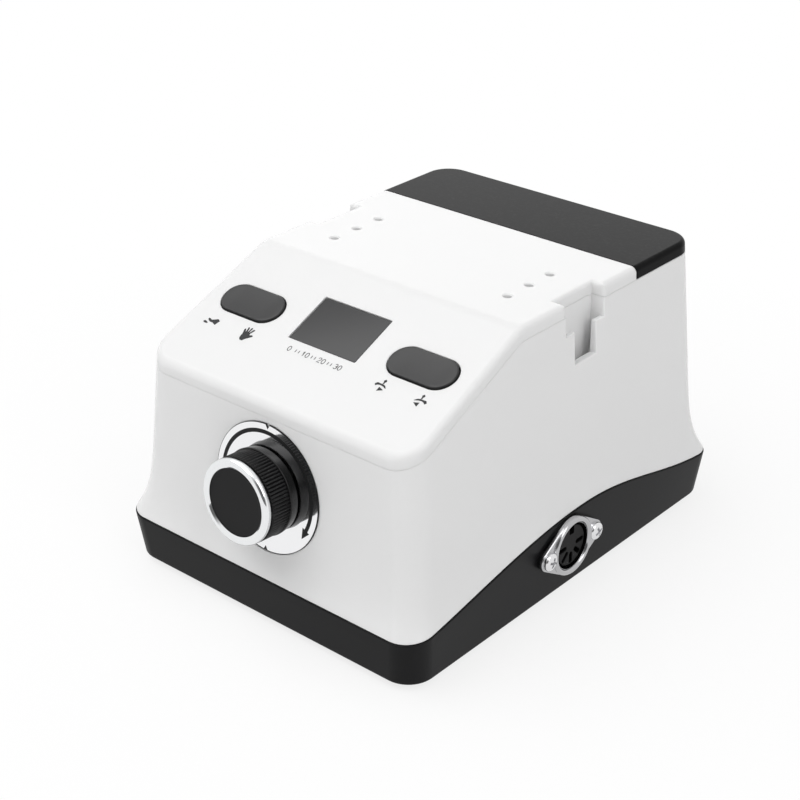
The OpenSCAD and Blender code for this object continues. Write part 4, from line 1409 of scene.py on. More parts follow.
@dataclass
class Panel:
    """Display window, rockers and printed signs of the sloped panel."""

    case: CaseForm
    window_w: float = 24.7
    window_h: float = 16.9
    window_t: float = 1.2
    window_corner: float = 0.25
    window_edge: Edges = (0.25, 0.1)
    window_recess: float = 0.2
    window_ledge: float = 1.8
    window_down: float = 20.5
    seat_corner: float = 0.35
    hole_corner: float = 0.5
    play: float = 0.2
    rocker_l: float = 22.0
    rocker_w: float = 10.6
    rocker_up: float = 0.6
    rocker_skirt: float = 2.4
    rocker_edge: Edges = (0.35, 0.2)
    rocker_gap: float = 0.45
    rocker_x: float = 31.7
    rocker_down: float = 22.8
    dish: float = 0.16
    dish_core: float = 0.15
    dish_rings: int = 9
    pivot_d: float = 4.6
    hub: Layer = (1.6, 6.1)  # radius and length
    pin: Layer = (1.0, 9.1)  # radius and length
    web_bite: float = 0.5
    pedal_at: Layer = (-39.0, 33.0)  # place across and distance below the bend
    hand_at: Layer = (-25.2, 33.2)
    forward_at: Layer = (24.9, 32.5)
    reverse_at: Layer = (38.4, 32.5)
    scale_at: Layer = (0.0, 32.4)
    scale_step: float = 6.0
    tick: Layer = (0.2, 1.0)  # width and height
    tick_apart: float = 1.2
    digit: Layer = (1.0, 1.7)  # width and height
    digit_gap: float = 0.45
    pen: float = 0.2

    @property
    def window_place(self) -> Place:
        """Frame on the panel at the window's middle."""
        return self.case.panel_place(0.0, self.window_down)

    def rocker_place(self, side: int) -> Place:
        """Returns the frame on the panel at the middle of the left (-1) or right (1) rocker."""
        return self.case.panel_place(side * self.rocker_x, self.rocker_down)

    def openings(self) -> list[Shape]:
        """Forms the cuts through the panel.

        Returns:
            The cuts of the rockers and the window.
        """
        gap, ledge = 2 * self.rocker_gap, 2 * self.window_ledge
        well = slab(bar(self.rocker_l + gap, self.rocker_w + gap), -THROUGH, THROUGH)
        outline = rounded_rect(self.window_w - ledge, self.window_h - ledge, self.hole_corner)
        hole = slab(outline, -THROUGH, THROUGH)
        return [*(well.placed(self.rocker_place(side)) for side in SIDES), hole.placed(self.window_place)]

    def recesses(self) -> list[Shape]:
        """Forms the shallow cuts into the panel.

        Returns:
            The window's seat.
        """
        play = 2 * self.play
        outline = rounded_rect(self.window_w + play, self.window_h + play, self.seat_corner)
        return [slab(outline, -self.window_t - self.window_recess, THROUGH).placed(self.window_place)]

    def window(self) -> None:
        """Builds the display window."""
        outline = rounded_rect(self.window_w, self.window_h, self.window_corner)
        shape = stack(outline, rounded(-self.window_t, 0.0, *self.window_edge, steps=3))
        obj = make("window", shape, self.window_place.moved(z=-self.window_recess))
        install(obj, WINDOW_DARK, HOUSING, "window_plastic", "display_window")

    def rocker_shape(self) -> Shape:
        """Forms a rocker's cap, dished for a fingertip.

        Returns:
            The closed surface, in the frame of the panel's face.
        """
        outline = bar(self.rocker_l, self.rocker_w)
        layers = rounded(-self.rocker_skirt, self.rocker_up, *self.rocker_edge, steps=6)
        rings = [level(outline(inset), z) for inset, z in layers]
        edge, half, reach = self.rocker_edge[0], self.rocker_l / 2, self.rocker_w / 2 - self.dish_core
        for inset in np.linspace(edge, reach, self.dish_rings)[1:]:
            flat = outline(float(inset))
            into = (inset - edge) / (reach - edge)
            along = 1 - np.clip(np.abs(flat[:, 0]) / half, 0, 1) ** 2
            rings.append(level(flat, self.rocker_up - self.dish * along * (1 - (1 - into) ** 2)))
        return loft(rings)

    def rocker(self, name: str, side: int) -> None:
        """Builds one rocker on its pivot.

        Args:
            name: The rocker's node and body, and the start of the piece's name.
            side: -1 for the left one and 1 for the right one.
        """
        place = self.rocker_place(side)
        obj = make(name + "_cap", self.rocker_shape(), place)
        across = place.moved(z=-self.pivot_d).turned(90, "X")
        hub_r, hub_l = self.hub
        web = block(2 * hub_r, hub_l, -self.pivot_d, self.web_bite - self.rocker_skirt)
        carve(obj, web.placed(place), Cut.ON)
        for radius, length in (self.hub, self.pin):
            carve(obj, rod(radius, -length / 2, length / 2, steps=40).placed(across), Cut.ON)
        install(obj, ROCKER_GREY, name, "rocker_plastic", name)

    def sign(self, name: str, at: Layer, plates: Sequence[Drawing]) -> None:
        """Builds a printed sign.

        Args:
            name: Name of the piece.
            at: Its place across and its distance below the bend.
            plates: Outlines of its inked areas.
        """
        shapes = [polygon_plate(points, 0.0, PRINT) for points in plates]
        obj = make(name, together(shapes), self.case.panel_place(*at))
        install(obj, INK, HOUSING, "rocker_plastic", smooth=0)

    def signs(self) -> None:
        """Builds the signs of pedal, hand and turning directions, and the scale under the window."""
        self.sign("pedal_sign", self.pedal_at, [SHOE, PEDAL])
        self.sign("hand_sign", self.hand_at, [HAND])
        self.sign("forward_sign", self.forward_at, self.turn_sign(1))
        self.sign("reverse_sign", self.reverse_at, self.turn_sign(-1))
        plates = []
        for i, number in enumerate(("0", "10", "20", "30")):
            plates += self.number(number, self.scale_step * (i - 1.5))
        w, h = self.tick[0] / 2, self.tick[1] / 2
        for gap in (-1, 0, 1):
            for side in SIDES:
                x = gap * self.scale_step + side * self.tick_apart / 2
                plates.append([(x - w, -h), (x + w, -h), (x + w, h), (x - w, h)])
        self.sign("speed_scale", self.scale_at, plates)

    @staticmethod
    def turn_sign(way: int) -> list[Drawing]:
        """Returns the outlines of a bit and an arrow around it, for turning one way, 1 or -1."""
        wide, high = 1.1, 1.15
        return [[(way * wide * x, high * y) for x, y in part[::way]] for part in (BIT, ARC, ARROW)]

    @staticmethod
    def strokes() -> dict[str, Drawing]:
        """Draws the digits as paths of a pen.

        Returns:
            The path of each digit, 1 wide and 2 high around its middle.
        """
        turn = [radians(t) for t in range(0, 181, 30)]
        loop = [radians(t) for t in (*range(0, 341, 20), 357)]
        arch = [(-0.5 * cos(t), 0.5 + 0.5 * sin(t)) for t in turn]
        bow = [(0.5 * sin(t), 0.5 * cos(t)) for t in turn]
        upper, lower = [(0.9 * x, y + 0.5) for x, y in bow], [(x, y - 0.5) for x, y in bow[1:]]
        return {
            "0": [(-0.5 * sin(t), cos(t)) for t in loop],
            "1": [(-0.3, 0.6), (0.1, 1.0), (0.1, -1.0)],
            "2": [*arch, (0.4, 0.25), (-0.5, -1.0), (0.5, -1.0)],
            "3": [(-0.45, 0.8), *upper, *lower, (-0.5, -0.75)],
        }

    def number(self, digits: str, x: float) -> list[Drawing]:
        """Draws a number in plain strokes.

        Args:
            digits: Digits out of 0, 1, 2 and 3.
            x: Its middle.

        Returns:
            The outlines of its digits.
        """
        wide, high = self.digit
        paths, outlines = self.strokes(), []
        for i, digit in enumerate(digits):
            middle = x + (i - (len(digits) - 1) / 2) * (wide + self.digit_gap)
            path = np.array([(a * wide, b * high / 2) for a, b in paths[digit]])
            step = np.gradient(path, axis=0)
            side = np.column_stack([-step[:, 1], step[:, 0]]) / np.linalg.norm(step, axis=1)[:, None]
            side *= self.pen / 2
            outlines.append(np.concatenate([path + side, (path - side)[::-1]]) + np.array([middle, 0.0]))
        return outlines

    def build(self) -> None:
        """Builds everything on the panel."""
        self.window()
        self.rocker("mode_rocker", -1)
        self.rocker("direction_rocker", 1)
        self.signs()


@dataclass
class SpeedKnob:
    """The speed knob and its dial plate, along the axis out of the front wall."""

    case: CaseForm
    body: str = "speed_knob"
    height: float = 42.9
    dial_r: float = 19.2
    dial_t: float = 0.8
    dial_seat: float = 0.3
    dial_play: float = 0.2
    dial_edge: float = 0.05
    nick: Layer = (1.3, 1.2)  # width and depth
    # painted shade: width and standoff of a dark band wrapped over the plate's rim, where its edge falls in
    # shade
    rim_shade_width: float = 0.08
    rim_shade_skin: float = 0.02
    bush_r: float = 4.4
    arrow_r: float = 16.8
    arrow_w: float = 1.2
    arrow_span: Layer = (172.0, -26.5)
    arrow_steps: int = 72
    arrow_head: Layer = (2.7, 3.4)  # width and length
    skirt_r: float = 12.8
    skirt_back: float = 1.0
    barrel_r: float = 12.5
    barrel: Layer = (4.0, 10.5)
    barrel_edge: float = 0.2
    ribs: int = 78
    rib_points: int = 8
    rib_depth: float = 0.35
    ring_r: float = 12.45
    ring: Layer = (10.5, 13.1)
    ring_play: float = 0.05
    ring_slope: Layer = (0.75, 0.5)
    ring_crest: Layer = (0.12, 0.06)
    face_r: float = 9.85
    face: Layer = (11.7, 12.5)
    face_edge: float = 0.15
    face_rim: Layer = (0.6, 1.0)
    face_dish: float = 0.06
    bore_r: float = 3.05
    pocket_r: float = 6.95
    pocket_top: float = 4.1

    @property
    def place(self) -> Place:
        """Frame on the front wall at the knob's axis."""
        return self.case.end_place(End.FRONT, 0.0, self.height)

    def recesses(self) -> list[Shape]:
        """Returns the dial plate's seat in the front wall."""
        seat = rod(self.dial_r + self.dial_play, -self.dial_seat, 2 * self.case.flare, steps=96)
        return [seat.placed(self.place)]

    def openings(self) -> list[Shape]:
        """Returns the hole of the bush in the front wall."""
        return [rod(self.bush_r, -2 * self.case.wall, self.case.wall).placed(self.place)]

    def nicked(self) -> Outline:
        """Outline of the round dial plate with a nick at its top and its bottom.

        Returns:
            The outline as a function of its inset.
        """
        wide, deep = self.nick
        lean = math.atan2(wide / 2, deep)

        def outline(inset: float) -> Array:
            """Insets the plate.

            Args:
                inset: Distance in millimetres.

            Returns:
                Its points.
            """
            r = self.dial_r - inset
            gap = math.asin((wide / 2 + inset / cos(lean)) / r)
            right = around(np.linspace(gap - QUARTER, QUARTER - gap, 96), r)
            tip = np.array([[0.0, self.dial_r - deep - inset / sin(lean)]])
            return np.concatenate([right, tip, -right, -tip])

        return outline

    def plate(self) -> None:
        """Builds the polished dial plate with its nicks and hole, its printed arrow, and a band of painted
        shade that darkens its rim.
        """
        low, high = -self.dial_seat, self.dial_t - self.dial_seat
        outline = self.nicked()
        shape = stack(outline, rounded(low, high, self.dial_edge, self.dial_edge, steps=3))
        obj = make("dial_plate_disc", shape, self.place)
        carve(obj, rod(self.bush_r, -2 * OVER, 2 * OVER).placed(self.place))
        install(obj, MIRROR, HOUSING, "dial_metal", "dial_plate")

        turn = np.radians(np.linspace(*self.arrow_span, self.arrow_steps))
        half, end = self.arrow_w / 2, turn[-1]
        arc = np.concatenate([around(turn, self.arrow_r + half), around(turn[::-1], self.arrow_r - half)])
        side, way = np.array([cos(end), sin(end)]), np.array([sin(end), -cos(end)])
        root, (wide, long) = self.arrow_r * side, self.arrow_head
        head = [root + side * wide / 2, root + way * long, root - side * wide / 2]
        # painted shade: the dark band over the plate's rim, in the same ink as the printed arrow
        shade_inset, skin = self.rim_shade_width, self.rim_shade_skin
        edge = stack(outline, [(-skin, -high), (-skin, skin), (shade_inset, skin), (shade_inset, -high)], closed=True)
        prints_and_rim_shade = [polygon_plate(arc[::-1], 0.0, PRINT), polygon_plate(head, 0.0, PRINT), edge]
        arrow = make("dial_arrow_and_rim_shade", together(prints_and_rim_shade), self.place.moved(z=high))
        install(arrow, DIAL_INK_AND_RIM_SHADE, HOUSING, "dial_metal", smooth=0)

    def ribbed(self) -> Outline:
        """Outline of the ribbed barrel.

        Returns:
            The outline as a function of its inset.
        """
        turn = full_turn(self.ribs * self.rib_points)
        radius = self.barrel_r - self.rib_depth * (0.5 - 0.5 * np.cos(turn * self.ribs)) ** 2
        return lambda inset: around(turn, radius - inset)

    def grip(self) -> None:
        """Builds the ribbed barrel with its skirt, pocket and bore."""
        (low, high), edge, back, r = self.barrel, self.barrel_edge, self.skirt_back, self.skirt_r
        layers = [(0.0, low - OVER), (0.0, high - edge), (edge, high)]
        obj = make("grip", stack(self.ribbed(), layers), self.place)
        skirt = [
            (r - 0.6, back), (r - 0.4, back + 0.1), (r - 0.3, back + 0.3),
            (r, low - 0.35), (r - 0.08, low - 0.1), (r - 0.3, low),
        ]
        carve(obj, revolve(skirt, steps=144).placed(self.place), Cut.ON)
        carve(obj, rod(self.face_r, high - OVER, self.face[0], steps=96).placed(self.place), Cut.ON)
        carve(obj, rod(self.pocket_r, 0.0, self.pocket_top, steps=64).placed(self.place))
        carve(obj, rod(self.bore_r, 0.0, high + self.ring_play).placed(self.place))
        install(obj, KNOB_BLACK, self.body, "knob_plastic", "knob_grip", smooth=50.0)

    def front_ring(self) -> None:
        """Builds the bright ring around the knob's face."""
        low, high = self.ring
        r, inner = (high - low) / 2, self.face_r + self.ring_play
        turns = [radians(t) for t in range(-90, 91, 10)]
        outer = [(self.ring_r - r + r * cos(t), low + r + r * sin(t)) for t in turns]
        wide, deep = self.ring_slope
        across, down = self.ring_crest
        slope = [(inner + wide, high), (inner + wide - across, high - down), (inner, high - deep)]
        obj = make("ring", revolve([(inner, low), *outer, *slope], steps=160, closed=True), self.place)
        install(obj, CHROME, self.body, "ring_chrome", "knob_ring", smooth=45.0)

    def cap(self) -> None:
        """Builds the flat black face, very slightly dished."""
        (low, high), r, edge, (rim, dip) = self.face, self.face_r, self.face_edge, self.face_rim
        profile = [(r, low), (r, high - edge), (r - edge, high), (r - rim, high)]
        profile += [(inner, high - self.face_dish) for inner in (r - dip, 4.0, 0.4)]
        obj = make("face", revolve(profile, steps=128), self.place)
        install(obj, FACE_BLACK, self.body, "knob_plastic", "knob_cap")

    def build(self) -> None:
        """Builds plate and knob."""
        self.plate()
        self.grip()
        self.front_ring()
        self.cap()


@dataclass(frozen=True)
class PanScrew:
    """A round head screw with a cross recess, pointing down, its head above the plane, in millimetres."""

    length: float
    head_r: float = 2.7
    head_h: float = 1.6
    shank_r: float = 1.5
    brim: float = 0.38  # height of the head's edge, as a share of the head
    tip: float = 0.8
    recess: tuple[Spot, Spot] = ((0.3, 0.92, 0.192), (1.2, 1.28, 0.336))  # height, length, width, as shares
    recess_r: float = 0.05

    def shape(self) -> Shape:
        """Forms the screw.

        Returns:
            The closed surface.
        """
        r, h, shank = self.head_r, self.head_h, self.shank_r
        profile = [(shank / 2, -self.length), (shank, self.tip - self.length), (shank, 0.0), (r, 0.0)]
        for t in np.radians([0, 15, 30, 45, 60, 75, 86]):
            profile.append((r * cos(t), h * (self.brim + (1 - self.brim) * sin(t))))
        obj = make("screw", revolve(profile, steps=48))
        cross = loft([
            level(rounded_rect(r * long, r * wide, self.recess_r, 2)(0.0), h * high)
            for high, long, wide in self.recess
        ])
        for turn in (0, 90):
            carve(obj, cross.placed(HOME.turned(turn)))
        points = np.array([v.co[:] for v in obj.data.vertices]) / MM
        faces = [tuple(p.vertices) for p in obj.data.polygons]
        bpy.data.objects.remove(obj)
        return Shape(points, faces)

    def build(self, name: str, places: Sequence[Place], finish: Finish, slot: str, node: str) -> None:
        """Builds a set of screws as one piece.

        Args:
            name: Name of the piece.
            places: Frame of each screw, under its head.
            finish: Their finish.
            slot: The record's material slot that they belong to.
            node: Node that they replace.
        """
        shape = self.shape()
        obj = make(name, together([shape.placed(place) for place in places]))
        install(obj, finish, HOUSING, slot, node, smooth=30.0)


@dataclass
class MotorSocket:
    """The round socket for the drill's motor, on the right side."""

    screw: PanScrew = PanScrew(6.0)
    screw_turn: float = 20.0
    pitch: float = 22.2
    flange_r: float = 9.15
    ear_r: float = 3.3
    flange_t: float = 1.2
    flange_edge: Edges = (0.45, 0.15)
    rim_h: float = 0.8
    bead_share: float = 0.98  # width of the rim's bead, as a share of the room for it
    bead_sink: float = 0.4
    bead_root: float = 0.3
    shell_r: float = 8.0
    shell_t: float = 0.8
    shell_l: float = 12.0
    shell_bite: float = 0.4
    insert_r: float = 7.15
    disc_r: float = 6.3
    disc_sink: float = 0.5
    disc_edge: float = 0.25
    groove_d: float = 4.0
    contacts: int = 5
    contact_pcr: float = 4.1
    contact_from: float = 180.0
    contact_step: float = 45.0
    slot_l: float = 3.6
    slot_w: float = 1.35
    slot_d: float = 6.0
    slot_edge: float = 0.15
    key: Layer = (2.2, 2.6)  # width and depth
    key_corner: float = 0.3

    @property
    def place(self) -> Place:
        """Frame on the back of the flange.

        Returns:
            The frame, X towards the back and Z out to the right.
        """
        low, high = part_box("socket_shell")
        back = high.x - (self.flange_t + self.rim_h) * MM
        origin = Vector((back, (low.y + high.y) / 2, (low.z + high.z) / 2))
        return Place.along(origin, Vector((0, 1, 0)), Vector((1, 0, 0)))

    def ear(self, side: int) -> Place:
        """Returns the frame at an ear's hole, on the back of the flange."""
        return self.place.moved(x=side * self.pitch / 2)

    def outline(self) -> Outline:
        """Outline of the flange: two ears and the round middle.

        Returns:
            The outline as a function of its inset.
        """
        apart, half_turn = self.pitch / 2, 2 * QUARTER
        lean = math.acos((self.flange_r - self.ear_r) / apart)
        arcs = (
            (apart, self.ear_r, -lean, lean), (0.0, self.flange_r, lean, half_turn - lean),
            (-apart, self.ear_r, half_turn - lean, half_turn + lean),
            (0.0, self.flange_r, half_turn + lean, 2 * half_turn - lean),
        )
        return lambda inset: np.concatenate([
            around(np.linspace(start, stop, 24), r - inset, x) for x, r, start, stop in arcs
        ])

    def shell(self) -> None:
        """Builds the flange with its raised rim and barrel."""
        flange = stack(self.outline(), rounded(0.0, self.flange_t, *self.flange_edge, steps=5))
        obj = make("socket_flange", flange, self.place)
        inner, outer, bite = self.shell_r - self.shell_t, self.shell_r, self.shell_bite
        barrel = [(inner, -self.shell_l), (outer, -self.shell_l), (outer, bite), (inner, bite)]
        middle, wide = (inner + self.flange_r) / 2, (self.flange_r - inner) / 2 * self.bead_share
        low, high = self.flange_t - self.bead_sink, self.rim_h + self.bead_sink
        turns = [radians(t) for t in range(0, 181, 12)]
        bead = [(middle + wide * cos(t), low + high * sin(t)) for t in turns]
        rim = [(middle + wide, self.bead_root), *bead, (middle - wide, self.bead_root)]
        carve(obj, revolve(barrel, steps=96, closed=True).placed(self.place), Cut.ON)
        carve(obj, revolve(rim, steps=128, closed=True).placed(self.place), Cut.ON)
        bore = rod(inner, -self.shell_l - OVER, self.flange_t + self.rim_h + OVER, steps=96)
        hole = rod(self.screw.shank_r, -2 * OVER, 3 * OVER, steps=40)
        carve(obj, together([bore.placed(self.place), *(hole.placed(self.ear(side)) for side in SIDES)]))
        install(obj, NICKEL, HOUSING, "bright_steel", "socket_shell", smooth=50.0)

    def insert(self) -> None:
        """Builds the black insert with its key notch and the openings of its contacts."""
        top, edge = self.flange_t - self.disc_sink, self.slot_edge
        floor = top - self.groove_d
        obj = make("socket_face", slab(disc(self.insert_r), -self.shell_l, floor), self.place)
        face = stack(disc(self.disc_r), rounded(floor - OVER, top, self.disc_edge, 0.0, steps=3))
        carve(obj, face.placed(self.place), Cut.ON)
        layers = [(0.0, -self.slot_d), (0.0, -edge), (-edge, 0.0), (-edge, OVER)]
        slot = stack(bar(self.slot_l, self.slot_w), layers)
        turns = [self.contact_from + self.contact_step * i for i in range(self.contacts)]
        cuts = [slot.placed(self.place.turned(turn).moved(x=self.contact_pcr, z=top)) for turn in turns]
        wide, deep = self.key
        notch = slab(rounded_rect(wide, 2 * deep, self.key_corner, 3), -self.groove_d, OVER)
        carve(obj, together([*cuts, notch.placed(self.place.moved(y=self.disc_r, z=top))]))
        install(obj, INSERT_BLACK, HOUSING, "fitting_plastic", "socket_insert")

    def screws(self) -> None:
        """Builds the two screws of the flange."""
        places = [self.ear(side).moved(z=self.flange_t).turned(self.screw_turn * side) for side in SIDES]
        self.screw.build("flange_screws", places, BRIGHT, "bright_steel", "socket_screws")

    def build(self) -> None:
        """Builds the socket."""
        self.shell()
        self.insert()
        self.screws()


@dataclass
class BackFittings:
    """Mains inlet, power switch and pedal jack in the back wall."""

    case: CaseForm
    height: float = 66.0
    bezel_t: float = 2.0
    play: float = 0.2
    fit: float = 0.05
    inlet_x: float = -17.0
    inlet_w: float = 50.0
    inlet_h: float = 22.5
    inlet_edge: Edges = (0.7, 0.1)
    inlet_pitch: float = 40.0
    screw: PanScrew = PanScrew(8.6)
    screw_turn: float = 35.0
    body_w: float = 27.0
    body_h: float = 19.8
    body_l: float = 18.0
    body_wall: float = 1.5
    body_corner: float = 0.8
    hollow: float = 15.0
    hollow_shoulder: float = 0.4
    live_pitch: float = 14.0
    earth_up: float = 4.0
    blade: Layer = (4.0, 2.0)
    switch_x: float = 22.0
    switch_w: float = 21.0
    switch_h: float = 15.0
    switch_l: float = 12.0
    switch_corner: Layer = (1.2, 0.5)  # radius of the frame's and of the body's corners
    switch_edge: Edges = (0.6, 0.1)
    power_l: float = 16.6
    power_w: float = 10.0
    power_gap: float = 0.45
    power_tip: float = 8.0
    power_up: float = 1.0
    power_root: float = 1.6
    power_dip: float = 0.8
    pivot_d: float = 1.0
    pivot: Layer = (1.0, 5.67)  # radius and half length
    pivot_well: Layer = (1.05, 5.9)  # radius and half length
    mark_x: float = 5.2
    mark_sink: float = 0.02
    mark_bar: Spot = (0.7, 4.0, 0.3)  # width, height and radius of the corners
    mark_ring: Layer = (1.4, 2.0)
    jack_x: float = 30.5
    jack_height: float = 50.5
    jack_r: float = 4.5
    jack_bore_r: float = 3.25
    jack_edge: float = 0.4
    jack_depth: float = 17.0
    jack_rim: float = 3.0
    jack_corner: float = 0.6
    jack_nut_af: float = 12.0
    jack_nut_t: float = 2.0
    jack_nut_edge: Edges = (0.3, 0.1)
    jack_end: float = 1.0

    def place(self, x: float, z: float) -> Place:
        """Returns the frame on the back wall at a place across and a height."""
        return self.case.end_place(End.BACK, x, z)

    def openings(self) -> list[Shape]:
        """Forms the cuts through the back wall.

        Returns:
            The cuts of inlet, switch and jack.
        """
        play, less = 2 * self.play, self.bezel_t
        inlet = block(self.body_w + play, self.body_h + play, -THROUGH, THROUGH)
        switch = block(self.switch_w - less + play, self.switch_h - less + play, -THROUGH, THROUGH)
        jack = rod(self.jack_r + self.play, -THROUGH, THROUGH)
        return [
            inlet.placed(self.place(self.inlet_x, self.height)),
            switch.placed(self.place(self.switch_x, self.height)),
            jack.placed(self.place(self.jack_x, self.jack_height)),
        ]

    def inlet(self) -> None:
        """Builds the mains inlet and its screws."""
        place, front = self.place(self.inlet_x, self.height), self.bezel_t
        shape = stack(bar(self.inlet_w, self.inlet_h), rounded(0.0, front, *self.inlet_edge, steps=4))
        obj = make("inlet", shape, place)
        body = slab(rounded_rect(self.body_w, self.body_h, self.body_corner), -self.body_l, OVER)
        carve(obj, body.placed(place), Cut.ON)
        w, h = self.body_w / 2 - self.body_wall, self.body_h / 2 - self.body_wall
        cut, shoulder = 2 * h / 3, self.hollow_shoulder * h
        outline = [(-w, -h), (w, -h), (w, shoulder), (w - cut, h), (-w + cut, h), (-w, shoulder)]
        carve(obj, polygon_plate(outline, front - self.hollow, front + OVER).placed(place))
        wide, thick = self.blade
        rest = block(wide + self.fit, thick + self.fit, -self.body_l - OVER, 0.0)
        x, y = self.live_pitch / 2, self.earth_up / 2
        cuts = [rest.placed(place.moved(*at)) for at in ((-x, -y), (x, -y), (0.0, y))]
        ears = [place.moved(x=side * self.inlet_pitch / 2) for side in SIDES]
        hole = rod(self.screw.shank_r + self.fit, -OVER, 2 * front, steps=32)
        carve(obj, together([*cuts, *(hole.placed(ear) for ear in ears)]))
        soften(obj, width=0.3, segments=2, degrees=60)
        install(obj, FITTING_BLACK, HOUSING, "fitting_plastic", "mains_inlet")
        places = [ear.moved(z=front).turned(self.screw_turn * side) for ear, side in zip(ears, SIDES)]
        self.screw.build("inlet_heads", places, ZINC, "screw_steel", "inlet_screws")

    def switch(self) -> None:
        """Builds the power switch's frame."""
        place, less = self.place(self.switch_x, self.height), self.bezel_t
        corner, body_corner = self.switch_corner
        outline = rounded_rect(self.switch_w, self.switch_h, corner)
        shape = stack(outline, rounded(0.0, self.bezel_t, *self.switch_edge, steps=4))
        obj = make("switch_frame", shape, place)
        inside = rounded_rect(self.switch_w - less, self.switch_h - less, body_corner)
        carve(obj, slab(inside, -self.switch_l, OVER).placed(place), Cut.ON)
        long, wide = self.power_l + 3 * self.power_gap, self.power_w + 2 * self.power_gap
        carve(obj, block(long, wide, -self.switch_l / 2, THROUGH).placed(place))
        radius, half = self.pivot_well
        carve(obj, rod(radius, -half, half, steps=40).placed(place.moved(z=-self.pivot_d).turned(90, "X")))
        soften(obj, width=0.2, segments=2, degrees=60)
        install(obj, FITTING_BLACK, HOUSING, "fitting_plastic", "power_switch")

    def power_rocker(self) -> None:
        """Builds the power switch's rocker, tipped to one end, and the marks on it."""
        place = self.place(self.switch_x, self.height).moved(z=-self.pivot_d).turned(self.power_tip, "Y")
        up, half, dip = self.bezel_t + self.power_up + self.pivot_d, self.power_l / 2, self.power_dip
        side = [(-half, -self.power_root), (half, -self.power_root), (half, up)]
        side += [(x, up - dip * (1 - (x / half) ** 2)) for x in np.linspace(half, -half, 13)[1:-1]]
        shape = polygon_plate([*side, (-half, up)], -self.power_w / 2, self.power_w / 2)
        rocker = make("power_cap", shape, place.turned(90, "X"))
        soften(rocker, width=0.35, segments=3, degrees=40)
        radius, reach = self.pivot
        carve(rocker, rod(radius, -reach, reach, steps=40).placed(place.turned(90, "X")), Cut.ON)
        install(rocker, POWER_BLACK, "power_rocker", "power_plastic", "power_rocker")

        mark_z = up - dip * (1 - (self.mark_x / half) ** 2)
        tilt = math.degrees(math.atan(2 * dip * self.mark_x / half ** 2))
        wide, high, corner = self.mark_bar
        inner, outer = self.mark_ring
        low = -self.mark_sink
        stroke = slab(rounded_rect(wide, high, corner, 4), low, PRINT)
        loop = revolve([(outer, low), (outer, PRINT), (inner, PRINT), (inner, low)], steps=48, closed=True)
        marks = together([
            stroke.placed(place.moved(x=self.mark_x, z=mark_z).turned(-tilt, "Y")),
            loop.placed(place.moved(x=-self.mark_x, z=mark_z).turned(tilt, "Y")),
        ])
        install(make("power_marks", marks), PALE_INK, "power_rocker", "power_plastic", smooth=0)

    def jack(self) -> None:
        """Builds the pedal jack and its nut."""
        place, wall = self.place(self.jack_x, self.jack_height), self.case.wall
        top, width, edge = self.jack_nut_t + self.jack_end, 2 * self.jack_r + self.jack_rim, self.jack_edge
        case = slab(rounded_rect(width, width, self.jack_corner), -wall - self.jack_depth, -wall)
        obj = make("jack", case, place)
        bush = stack(disc(self.jack_r), rounded(-wall - OVER, top, edge, 0.0, steps=3))
        carve(obj, bush.placed(place), Cut.ON)
        r, wide = self.jack_bore_r, self.jack_bore_r + edge
        bore = [(r, top - self.jack_depth), (r, top - edge), (wide, top), (wide, top + OVER)]
        carve(obj, revolve(bore, steps=64).placed(place))
        install(obj, FITTING_BLACK, HOUSING, "fitting_plastic", "pedal_jack")
        layers = rounded(0.0, self.jack_nut_t, *self.jack_nut_edge, steps=2)
        nut = make("jack_nut", stack(hexagon(self.jack_nut_af), layers), place)
        carve(nut, rod(self.jack_r + self.fit, -OVER, 2 * self.jack_nut_t, steps=64).placed(place))
        soften(nut, width=0.15, segments=2, degrees=40)
        install(nut, NICKEL, HOUSING, "bright_steel", "pedal_jack_nut")

    def build(self) -> None:
        """Builds the back's fittings."""
        self.inlet()
        self.switch()
        self.power_rocker()
        self.jack()


@dataclass
class Underside:
    """Rubber feet and case screws under the tray."""

    case: CaseForm
    foot_h: float = 2.0
    foot_r: float = 6.0
    foot_x: float = 38.0
    foot_y: float = 52.0
    post_x: float = 46.0
    post_y: float = 62.0
    screw: PanScrew = PanScrew(17.4)

    def corners(self, x: float, y: float) -> list[Place]:
        """Returns the frames at four corners on the table, Z up."""
        return [self.case.home.moved(i * x, j * y) for i in SIDES for j in SIDES]

    @property
    def posts(self) -> list[Place]:
        """Frames of the case screws on the table."""
        return self.corners(self.post_x, self.post_y)

    def build(self) -> None:
        """Builds feet and screws."""
        low = self.foot_r - self.foot_h / 4
        foot = revolve([
            (low - 1.6, 0.25), (low - 1.2, 0.0), (low - 0.4, 0.0), (low - 0.1, 0.12), (low, 0.4),
            (self.foot_r, self.foot_h),
        ], steps=64)
        places = self.corners(self.foot_x, self.foot_y)
        feet = make("feet", together([foot.placed(place) for place in places]))
        install(feet, FOOT_RUBBER, HOUSING, "foot_rubber", "rubber_feet")
        sink = self.foot_h + self.screw.head_h
        places = [post.moved(z=sink).turned(180, "X") for post in self.posts]
        self.screw.build("case_heads", places, ZINC, "screw_steel", "case_screws")


